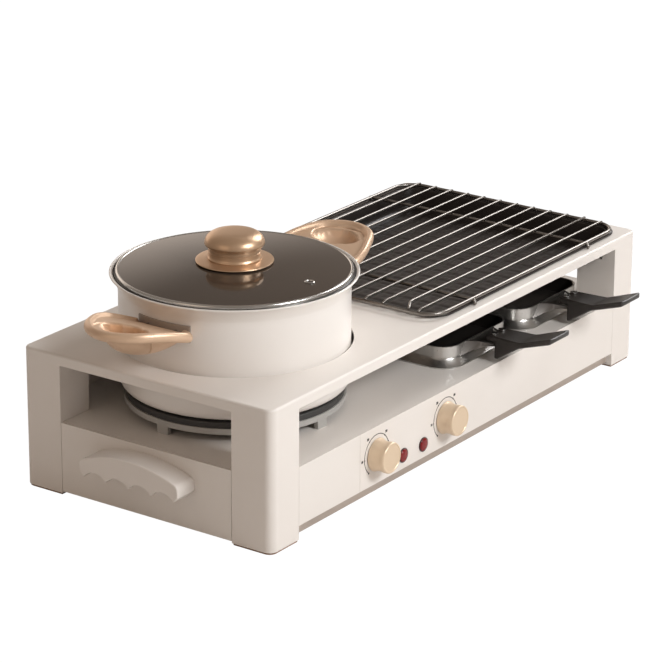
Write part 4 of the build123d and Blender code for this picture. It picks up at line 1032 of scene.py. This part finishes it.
        inner, outer = reach_at(self.eye_outline()), reach_at(self.outline())
        width = outer - inner
        at_root = np.abs(turns)[:, None] > corner - 0.01
        edge_out = np.where(at_root, self.edge_root, self.edge_out)
        edge_in = np.full_like(width, self.edge_in)
        bend = (1 - np.cos(np.linspace(0, math.pi / 2, 6)))[None, :]
        share = np.linspace(0, 1, 18)[None, 1:-1]
        along = np.concatenate([edge_in * bend, edge_in + (width - edge_in - edge_out) * share,
                                width - edge_out * bend[:, ::-1]], axis=1)
        start = np.clip(along / edge_in, 0, 1)
        end = np.clip((width - along) / edge_out, 0, 1)
        near, far = (np.sqrt(np.clip(1 - (1 - part) ** 2, 0, 1)) for part in (start, end))
        swell = near * far
        distance = inner + along
        u = centre[0] + distance * np.cos(turns)[:, None]
        v = distance * np.sin(turns)[:, None]
        t = np.clip((width - along - self.band_width) / self.band_ease, 0, 1)
        t = np.where(at_root, 1.0, t)
        top = self.loop_top(u) - self.band_rise * (3 * t ** 2 - 2 * t ** 3)
        sheet = self.loop_top(u) - self.loop_thickness
        low = np.minimum(sheet, self.half_ball(self.keel, u, v))
        middle = (top + sheet) / 2
        over = np.stack([u, v, middle + (top - middle) * swell], -1)
        beneath = np.stack([u, v, middle - (middle - low) * swell], -1)[:, ::-1][:, 1:-1]
        facing = (side, side, 1)
        section = np.concatenate([over, beneath], axis=1) * facing + POT_AXIS
        surface = Surface().add_grid(section, wrap_rows=True, wrap_columns=True, flip=True)
        surface.add_loops(self.cup() * facing + POT_AXIS)
        piece = surface.piece(f"pot_grip_{label}", 60.0)
        self.finish(piece, "pot", "gold_plastic", f"pot_handle_{label}")

    def cup(self) -> np.ndarray:
        """Closed sections of the pocket's floor below the eye, from its near side to its far one.

        Formula: at each distance from the pot the section spans the eye's width. It runs over the
        pocket's floor, which is never above the loop's middle, and back along the keel's
        underside, which is never above the loop's.

        Returns:
            The sections, shape (n, m, 3).
        """
        near, far, half = self.eye
        radius, middle = (far - near) / 2, (near + far) / 2
        u = np.linspace(near - self.cup_wall, far + self.cup_wall, 24)
        chord = np.sqrt(np.clip(radius ** 2 - (np.clip(u, near, far) - middle) ** 2, 0, None))
        width = half - radius + chord + self.cup_wall
        across = np.linspace(-1, 1, 21)[None, :] * width[:, None]
        along = np.repeat(u[:, None], across.shape[1], axis=1)
        sheet = self.loop_top(along) - self.loop_thickness
        under = np.minimum(self.half_ball(self.keel, along, across), sheet + self.cup_lap)
        floor = np.minimum(self.half_ball(self.pocket, along, across),
                           sheet + self.loop_thickness / 2)
        floor = np.maximum(floor, under + self.cup_wall)
        over = np.stack([along, across, floor], -1)[:, ::-1]
        return np.concatenate([np.stack([along, across, under], -1), over], axis=1)


@dataclass
class Lid(Assembly):
    """Tinted glass in a steel band, with its knob and vent."""

    glass_radius: float = 102.4
    glass_edge: float = 191.5
    glass: float = 3.5
    ground: float = 0.7
    rise: float = 6.0
    hole: float = 2.7
    vent_reach: float = 80.6

    def dome(self, radius: np.ndarray | float, edge: float) -> np.ndarray:
        """Height of the dome at a radius: a sphere that stands over the edge by the rise."""
        sphere = (self.glass_radius ** 2 + self.rise ** 2) / (2 * self.rise)
        return edge + self.rise - sphere + np.sqrt(sphere ** 2 - radius ** 2)

    def build(self) -> None:
        """Builds the glass, the band, the vent and the knob."""
        self.pane()
        self.band()
        self.vent()
        self.knob()
        self.dress("steel", "lid_screw")

    def pane(self) -> None:
        """Builds the glass: two domes joined by a ground, rounded edge."""
        out = np.linspace(self.hole, self.glass_radius - 0.8, 26)
        top = self.glass_edge + self.glass
        under = list(zip(out, self.dome(out, self.glass_edge)))
        over = list(zip(out[::-1], self.dome(out[::-1], top)))
        rim = [(self.glass_radius, self.glass_edge + self.ground),
               (self.glass_radius, top - self.ground)]
        self.turn("lid_pane", "lid", "dark_glass", under + rim + over + under[:1], "lid_glass")

    def band(self) -> None:
        """Builds the steel band: a bright bead round the glass, and outside it a channel coloured
        dark as painted shade.
        """
        bead = [(101.6, 194.55), (102.5, 194.3), (102.5, 190.6), (104.4, 190.6), (104.6, 193.4),
                (104.3, 194.6), (103.6, 195.3), (102.7, 195.45), (102.0, 195.15),
                (101.6, 194.55)]
        self.turn("lid_bead", "lid", "steel", bead, "lid_band")
        # The steel channel is coloured dark: painted shade on the band's outer face.
        channel = [(97.4, 190.3), (105.4, 190.3), (105.9, 190.7), (105.9, 191.9), (105.6, 192.2),
                   (104.0, 192.2), (104.0, 191.2), (97.4, 191.2), (97.4, 190.3)]
        self.turn("lid_channel", "lid", "dark_lining", channel, "lid_band", slot="black_coat")

    def vent(self) -> None:
        """Builds the steam vent: a rolled steel ring whose bore is closed by a dark plug, painted
        shade.
        """
        level = float(self.dome(np.array(self.vent_reach), self.glass_edge + self.glass))
        place = (POT_X, Y_MID - self.vent_reach, level)
        ring = [(2.1, -4.9), (2.4, -4.9), (2.4, -0.2), (4.4, -0.2), (4.6, 0.2), (4.55, 0.6),
                (4.2, 0.9), (3.8, 0.95), (3.4, 0.75), (3.2, 0.3), (3.1, -0.1), (2.1, -0.15),
                (2.1, -4.9)]
        self.turn("lid_vent_ring", "lid", "steel", ring, "lid_vent", centre=place, segments=48)
        # Dark plug in the bore: painted shade in place of the open hole.
        plug = [(0.0, -4.0), (2.05, -4.0), (2.05, -0.1), (3.15, -0.05), (3.15, 0.1), (0.0, 0.1)]
        self.turn("lid_vent_shade", "lid", "dark_lining", plug, slot="black_coat",
                  centre=place, segments=32)

    def knob(self) -> None:
        """Builds the knob and its flange as two turned pieces with soft edges."""
        flange = [(2.7, 201.2), (33.6, 201.2), (34.3, 201.5), (34.5, 202.0), (34.2, 202.5),
                  (33.2, 202.8), (30.0, 203.1), (27.0, 203.5), (25.0, 203.85), (2.7, 204.0),
                  (2.7, 201.2)]
        self.turn("lid_flange", "lid", "gold_metal", flange, "lid_knob_flange", segments=128)
        grip = [(0.0, 216.3), (2.6, 216.3), (2.6, 204.0), (23.9, 204.0), (24.1, 204.5),
                (24.0, 205.3), (23.5, 205.8), (23.2, 206.6), (23.1, 208.0), (23.1, 210.4),
                (22.8, 210.6), (22.8, 210.9), (23.1, 211.1), (23.1, 213.2), (22.8, 213.4),
                (22.8, 213.7), (23.1, 213.9), (23.2, 215.3), (23.9, 215.9), (25.3, 216.1),
                (26.1, 216.5), (26.5, 217.2), (26.5, 218.2), (26.3, 219.6), (25.7, 221.4),
                (24.6, 223.3), (22.8, 225.1), (20.2, 226.6), (16.6, 227.7), (11.6, 228.25),
                (6.0, 228.45), (0.0, 228.5)]
        self.turn("lid_grip", "lid", "gold_metal", grip, "lid_knob", segments=128)


@dataclass
class GrillTray(Assembly):
    """Black tray with a rolled rim and a floor of raised pads."""

    size: tuple = (321.5, 249.5)
    corner: float = 22.0
    rim: float = 6.0
    rim_top: float = 133.9
    rim_low: float = 131.3
    bottom: float = 110.5
    wall: float = 1.5
    pads: tuple = (14, 11)
    pad_steps: int = 10
    pad_rise: float = 1.1
    pad_margin: float = 9.0
    pad_skin: tuple = (0.05, 0.4)
    dimple: float = 0.7
    dimple_spread: float = 0.012

    def build(self) -> None:
        """Builds the tray's shell as stacked loops and its floor as a height field."""
        rim, high, low, edge = self.rim, self.rim_top, self.bottom, self.rim_low
        skirt, inner, floor = rim + 5.5, rim + self.wall, low + self.wall
        rows = [(skirt, low), (skirt - 2.7, low + 0.55), (skirt - 4.7, low + 2.0),
                (rim, low + 5.5), (rim, edge), (0.6, edge), (0.0, edge + 0.6), (0.0, high - 1.1),
                (0.35, high - 0.35), (1.1, high), (rim + 0.3, high), (rim + 1.1, high - 0.4),
                (inner, high - 1.4), (inner, floor + 4.5), (inner + 0.6, floor + 2.2),
                (inner + 2.2, floor + 0.6), (inner + 4.5, floor)]
        loops = rounded_stack(rows, self.size, self.corner, (TRAY_X, Y_MID), 9)
        piece = Surface().add_loops(loops).piece("tray_shell", 50.0)
        self.finish(piece, "tray", "black_coat", "grill_tray")
        self.floor_pads(inner + self.pad_margin, floor)

    def floor_pads(self, inset: float, floor: float) -> None:
        """Builds the raised pads on the tray's floor as one sheet.

        Formula: in each cell the height is the pad's rise times the product of two flat-topped
        bumps, 1 - |2t - 1|^8 across and along, less a round dimple in its middle.

        Args:
            inset: Distance from the tray's outer edge to the field of pads.
            floor: Height of the floor.
        """
        s, t = (np.linspace(0, count, count * self.pad_steps + 1) for count in self.pads)
        across, along = (1 - np.abs(2 * (share % 1) - 1) ** 8 for share in (s, t))
        radius2 = ((s % 1) - 0.5)[:, None] ** 2 + ((t % 1) - 0.5)[None, :] ** 2
        height = self.pad_rise * across[:, None] * along[None, :]
        height = height - self.dimple * np.exp(-radius2 / self.dimple_spread)
        height[[0, -1], :] = 0
        height[:, [0, -1]] = 0
        x, y = (middle + (share / count - 0.5) * (side - 2 * inset) for middle, share, count, side
                in zip((TRAY_X, Y_MID), (s, t), self.pads, self.size))
        above, below = self.pad_skin
        top = np.stack([*np.meshgrid(x, y, indexing="ij"), floor + above + height], -1)
        low = top.copy()
        low[..., 2] = floor - below
        rims = [np.concatenate([sheet[:, 0], sheet[-1, 1:], sheet[::-1, -1][1:],
                                sheet[0, ::-1][1:-1]]) for sheet in (low, top)]
        surface = Surface().add_grid(top, flip=True).add_grid(low)
        surface.add_grid(np.stack(rims), wrap_columns=True)
        self.finish(surface.piece("tray_pads", 60.0), "tray", "black_coat")


@dataclass
class Rack(Assembly):
    """Wire rack: a loop, two cross wires with turned-down feet and twelve long rods."""

    size: tuple = (323.5, 247.2)
    corner: float = 22.0
    middle_x: float = TRAY_X - 5.5
    loop_level: float = 136.0
    cross_level: float = 135.9
    rod_level: float = 138.9
    loop_wire: float = 1.8
    cross_wire: float = 1.6
    rod_wire: float = 1.3
    cross_inset: float = 62.0
    foot: float = 127.25
    foot_low: float = 132.0
    foot_bend: float = 3.0
    rods: int = 12
    rod_span: float = 212.0
    rod_short: float = 1.4
    rod_dip: float = 0.9
    rod_dip_length: float = 5.0
    stray_rod: int = 1
    stray_reach: float = 9.0
    stray_bend: float = 16.0

    def build(self) -> None:
        """Builds the frame and the rods."""
        frame, bars, mid = Surface(), Surface(), self.middle_x
        loop, = rounded_stack([(0.0, self.loop_level)], self.size, self.corner, (mid, Y_MID))
        frame.add_grid(tube(loop, self.loop_wire, 16, closed=True), wrap_rows=True,
                       wrap_columns=True, flip=True)
        near, far = Y_MID - self.foot, Y_MID + self.foot
        low, level = self.foot_low, self.cross_level
        for side in (-1, 1):
            x = mid + side * (self.size[0] / 2 - self.cross_inset)
            corners = [(x, near, low), (x, near, level), (x, far, level), (x, far, low)]
            add_rod(frame, bent_path(corners, self.foot_bend), self.cross_wire)
        self.finish(frame.piece("rack_loop", 60.0), "rack", "chrome_wire", "rack_frame")
        half = self.size[0] / 2 - self.rod_short
        start, end, level = mid - half, mid + half, self.rod_level
        dip, run = level - self.rod_dip, self.rod_dip_length
        for number in range(self.rods):
            y = Y_MID + self.rod_span * (number / (self.rods - 1) - 0.5)
            path = np.array([(start, y, dip), (start + run, y, level), (end - run, y, level),
                             (end, y, dip)])
            if number == self.stray_rod:
                corners = [(start, y - self.stray_reach, level),
                           (start + self.stray_bend, y, level), (end, y, level)]
                path = bent_path(corners, self.stray_bend)
            add_rod(bars, path, self.rod_wire)
        self.finish(bars.piece("rack_bars", 60.0), "rack", "chrome_wire", "rack_rods")


@dataclass
class Pan(Assembly):
    """Raclette pan: a square bowl on a flared skirt, a flowing neck and a raised handle."""

    number: int = 1
    middle_x: float = 0.0
    width: float = 107.0
    corner: float = 17.0
    flange: float = 6.2
    bottom: float = 68.7
    skirt_top: float = 76.7
    rim: float = 88.0
    front: float = Y_FRONT + 27.0
    neck_end: float = Y_FRONT + 27.0 - 24.6
    neck_power: float = 2.2
    grip_end: float = Y_FRONT - 59.5
    grip_edge: float = 1.1

    def build(self) -> None:
        """Builds the bowl, its neck and lining, and the handle."""
        body = f"pan_{self.number}"
        for form, loops, angle, look, slot, nodes in (
                ("bowl", self.bowl(), 42.0, "pan_steel", "steel", ["tray"]),
                ("neck", self.neck(), 42.0, "neck_steel", "steel", ["tray"]),
                ("lining", self.lining(), 42.0, "dark_lining", "black_coat", []),
                ("grip", self.grip(), 30.0, "black_plastic", None, ["handle"])):
            piece = Surface().add_loops(loops).piece(f"{body}_{form}", angle)
            self.finish(piece, body, look, *(f"{body}_{node}" for node in nodes), slot=slot)
        self.dress("steel", f"{body}_rivets")

    def stack(self, rows: list) -> np.ndarray:
        """Loops of the pan from rows of (distance set in, height), as rounded_stack gives them."""
        middle = (self.middle_x, self.front + self.width / 2)
        return rounded_stack(rows, (self.width, self.width), self.corner, middle)

    def sections(self, y: np.ndarray, corners: list) -> np.ndarray:
        """Sections square to Y.

        Args:
            y: Place of each section.
            corners: Distance from the pan's middle and height at each corner, for every section.

        Returns:
            An array of shape (sections, corners, 3).
        """
        x = np.stack([self.middle_x + side for side, height in corners], 1)
        z = np.stack([height + 0 * y for side, height in corners], 1)
        return np.stack([x, np.repeat(y[:, None], x.shape[1], 1), z], -1)

    def bowl(self) -> np.ndarray:
        """Shapes the bowl: underside, skirt, wall, rolled rim and inside.

        Returns:
            Its loops.
        """
        out, low, rim, skirt = self.flange, self.bottom, self.rim, self.skirt_top
        return self.stack([
            (1.5, low + 1.5), (0.6, low + 1.8), (-out + 1.8, low + 0.6), (-out + 1.2, low),
            (-out, low), (-out, low + 0.9), (-out + 0.8, low + 1.3), (-1.2, skirt - 1.6),
            (-0.3, skirt - 0.5), (0.0, skirt + 0.8), (0.0, rim - 1.2), (-0.5, rim - 0.7),
            (-0.45, rim - 0.2), (0.1, rim), (0.8, rim), (1.2, rim - 0.4), (1.3, low + 6.0),
            (2.0, low + 4.0), (4.0, low + 3.0)])

    def lining(self) -> np.ndarray:
        """Shapes the dark non-stick coat inside the bowl, a thin closed skin.

        Returns:
            Its loops.
        """
        low, rim = self.bottom, self.rim
        return self.stack([
            (4.0, low + 3.05), (2.0, low + 4.05), (1.32, low + 6.0), (1.25, rim - 0.9),
            (1.6, rim - 0.9), (1.65, low + 6.1), (2.3, low + 4.3), (4.2, low + 3.35)])

    def neck(self) -> np.ndarray:
        """Shapes the neck that flows out of the wall.

        Formula: each section is a trapezoid with a channel on top. Its half widths and its lower
        edge run from their values at the wall to those at the handle as (1 - t) to the neck power.

        Returns:
            Its sections.
        """
        t = np.linspace(0, 1, 14)
        fade = (1 - t) ** self.neck_power
        y = self.front + 1.0 + (self.neck_end - self.front - 1.0) * t
        top, low = 15.5 + 9.0 * fade, 12.0 + 26.0 * fade
        base = self.rim - 4.6 - 8.6 * fade
        rim = self.rim - 0.1
        dip = rim - 2.2 * np.clip(np.minimum(t * 5, (1 - t) * 3), 0, 1)
        lip = top - 2.0
        channel = lip - 1.2
        return self.sections(y, [
            (-low, base), (low, base), (top + 0.3, rim - 0.5), (top - 0.3, rim), (lip, rim),
            (channel, dip), (-channel, dip), (-lip, rim), (-(top - 0.3), rim),
            (-(top + 0.3), rim - 0.5)])

    def grip(self) -> np.ndarray:
        """Shapes the handle: a flat grip that rises to its tip, with a gusset below its root.

        Formula: the half width, underside and top are straight runs between named stations, with
        the corners rounded.

        Returns:
            Its sections.
        """
        seat, end = self.rim + 0.2, self.grip_end
        start, gusset = self.neck_end + 9.0, self.neck_end - 0.5
        level = self.neck_end - 28.0
        stations = np.array([
            (start, 12.6, seat + 1.0, seat + 4.6),
            (start - 0.9, 13.5, seat, seat + 5.5),
            (gusset + 0.02, 13.5, seat, seat + 5.5),
            (gusset, 13.5, seat - 15.6, seat + 5.5),
            (gusset - 0.4, 13.6, seat - 16.0, seat + 5.5),
            (gusset - 3.0, 13.7, seat - 15.6, seat + 5.5),
            (gusset - 6.0, 13.9, seat - 13.6, seat + 5.5),
            (level + 3.0, 15.0, seat - 1.4, seat + 5.55),
            (level, 15.2, seat + 0.2, seat + 5.7),
            (level - 3.0, 15.4, seat + 1.2, seat + 6.5),
            ((level + end) / 2, 16.4, seat + 5.9, seat + 11.3),
            (end + 3.0, 17.3, seat + 10.6, seat + 16.0),
            (end + 0.8, 16.9, seat + 11.5, seat + 16.7),
            (end, 15.4, seat + 12.4, seat + 16.2)])
        y, half, low, high = stations.T
        r = np.minimum(self.grip_edge, (high - low) / 3)
        crown = high - 0.5
        return self.sections(y, [
            (half - r, low), (half, low + r), (half, high - r), (half - r, high),
            (half * 0.5, crown), (-half * 0.5, crown), (-(half - r), high), (-half, high - r),
            (-half, low + r), (-(half - r), low)])


# Studio

@dataclass
class Studio:
    """Pale floor, soft lamps and the camera at the photograph's angle.

    A lamp has its name, place and side in metres, power in watts, linear colour and aim. The glow
    is what reflections see behind the object: the direction of its middle, the cosines at which
    it starts and is full, and its strength.
    """

    target: tuple = (7.59, 31.13, 90.6)
    azimuth: float = -54.87
    elevation: float = 19.95
    roll: float = 0.32
    distance: float = 2905.9
    lens: float = 170.96
    floor_half: float = 6.0
    floor_share: float = 0.96
    floor_glow: float = 1.05
    room_power: float = 0.30
    glow_aim: tuple = (0.45, 0.89, 0.05)
    glow_reach: tuple = (0.83, 0.97)
    glow_power: float = 1.2
    lamps: tuple = (
        ("key_lamp", (-0.05, -1.5, 1.0), 0.5, 20.0, (0.97, 0.985, 1.0), (-0.5, 0.03, 0.1)),
        ("top_lamp", (1.5, -0.15, 1.15), 0.8, 18.0, (0.98, 0.99, 1.0), (0.0, 0.03, 0.1)),
        ("left_lamp", (-2.6, 0.2, 1.0), 1.4, 4.0, (1.0, 0.80, 0.64), (0.0, 0.03, 0.1)))

    def build(self) -> None:
        """Builds the floor, the world, the lamps and the camera."""
        self.floor()
        self.world()
        for lamp in self.lamps:
            self.lamp(*lamp)
        self.camera()
        bpy.context.scene.view_settings.view_transform = "Standard"

    @staticmethod
    def seen(bench: Bench) -> bpy.types.NodeSocket:
        """Adds an output that is 1 for rays from the camera, direct or through glass.

        Args:
            bench: The bench of the tree that takes it.

        Returns:
            The output.
        """
        path = bench.add("LightPath")
        rays = {0: path["Is Camera Ray"], 1: path["Is Transmission Ray"]}
        return bench.add("Math", rays, operation="MAXIMUM")[0]

    def floor(self) -> None:
        """Builds the floor: white to the camera, with a soft shadow kept."""
        half = self.floor_half
        corners = [(-half, -half, 0), (half, -half, 0), (half, half, 0), (-half, half, 0)]
        mesh = bpy.data.meshes.new("floor")
        mesh.from_pydata(corners, [], [(0, 1, 2, 3)])
        add_object("floor", mesh)
        material = bpy.data.materials.new("floor_white")
        bench = Bench.of(material)
        share = bench.add("Math", {0: self.seen(bench), 1: self.floor_share}, operation="MULTIPLY")
        pale = bench.add("BsdfDiffuse", {"Color": (0.80, 0.78, 0.76, 1)})
        glow = bench.add("Emission", {"Color": (1, 1, 1, 1), "Strength": self.floor_glow})
        blend = bench.add("MixShader", {0: share[0], 1: pale[0], 2: glow[0]})
        bench.add("OutputMaterial", {0: blend[0]})
        mesh.materials.append(material)

    def world(self) -> None:
        """Lights the room evenly, with a pale glow behind that only reflections see.

        Formula: the glow's strength follows a smooth step of the cosine between the ray and the
        glow's direction. The camera and clear glass see plain white.
        """
        world = bpy.data.worlds.new("studio")
        bpy.context.scene.world = world
        bench = Bench.of(world)
        cosine = bench.add("VectorMath", {0: bench.add("TexCoord")["Generated"], 1: self.glow_aim},
                           operation="DOT_PRODUCT")["Value"]
        start, full = self.glow_reach
        swell = bench.add("MapRange", {"Value": cosine, "From Min": start, "From Max": full,
                                       "To Max": self.glow_power},
                          interpolation_type="SMOOTHSTEP")["Result"]
        glossy = bench.add("LightPath")["Is Glossy Ray"]
        power = bench.add("Math", {0: glossy, 1: swell, 2: self.room_power},
                          operation="MULTIPLY_ADD")[0]
        room = bench.add("Background", {"Color": (1.0, 0.86, 0.75, 1), "Strength": power})
        white = bench.add("Background", {"Color": (1, 1, 1, 1)})
        blend = bench.add("MixShader", {0: self.seen(bench), 1: room[0], 2: white[0]})
        bench.add("OutputWorld", {0: blend[0]})

    @staticmethod
    def lamp(name: str, place: tuple, size: float, power: float, colour: tuple,
             aim: tuple) -> None:
        """Places a square lamp.

        Args:
            name: Name of the lamp.
            place: Where it hangs, in metres.
            size: Its side in metres.
            power: Its power in watts.
            colour: Its linear colour.
            aim: The point that it faces, in metres.
        """
        data = bpy.data.lights.new(name, "AREA")
        data.shape = "SQUARE"
        data.size = size
        data.energy = power
        data.color = colour
        lamp = add_object(name, data)
        lamp.location = place
        lamp.rotation_mode = "QUATERNION"
        lamp.rotation_quaternion = (Vector(aim) - Vector(place)).to_track_quat("-Z", "Y")

    def camera(self) -> None:
        """Places the camera from the photograph's azimuth, elevation, roll and distance."""
        a, e, r = (math.radians(value) for value in (self.azimuth, self.elevation, self.roll))
        back = Vector((math.sin(a) * math.cos(e), -math.cos(a) * math.cos(e), math.sin(e)))
        level = Vector((math.cos(a), math.sin(a), 0))
        rise = back.cross(level)
        right = level * math.cos(r) + rise * math.sin(r)
        up = rise * math.cos(r) - level * math.sin(r)
        data = bpy.data.cameras.new("camera")
        data.lens = self.lens
        data.sensor_width = 36.0
        data.clip_end = 50.0
        camera = add_object("camera", data)
        place = (Vector(self.target) + back * self.distance) * MM
        turn = Matrix((right, up, back)).transposed().to_4x4()
        camera.matrix_world = Matrix.Translation(place) @ turn
        bpy.context.scene.camera = camera


def main() -> None:
    """Loads the frame, dresses every sub-assembly and sets the studio."""
    logging.basicConfig(level=logging.INFO, format="%(message)s")
    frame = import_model()
    groups = {"surface": surface_detail_group(), "spun": spun_detail_group()}
    shared = (frame, {finish.name: finish.build(groups) for finish in FINISHES})
    parts = [kind(*shared) for kind in (Housing, Hob, Controls, Pot, Lid, GrillTray, Rack)]
    for number, place in ((1, 362.0), (2, 490.0)):
        parts.append(Pan(*shared, number=number, middle_x=X_LEFT + place))
    for part in parts:
        part.build()
        LOG.info("built %s", type(part).__name__)
    Studio().build()
    bpy.context.view_layer.update()


if __name__ == "__main__":
    main()
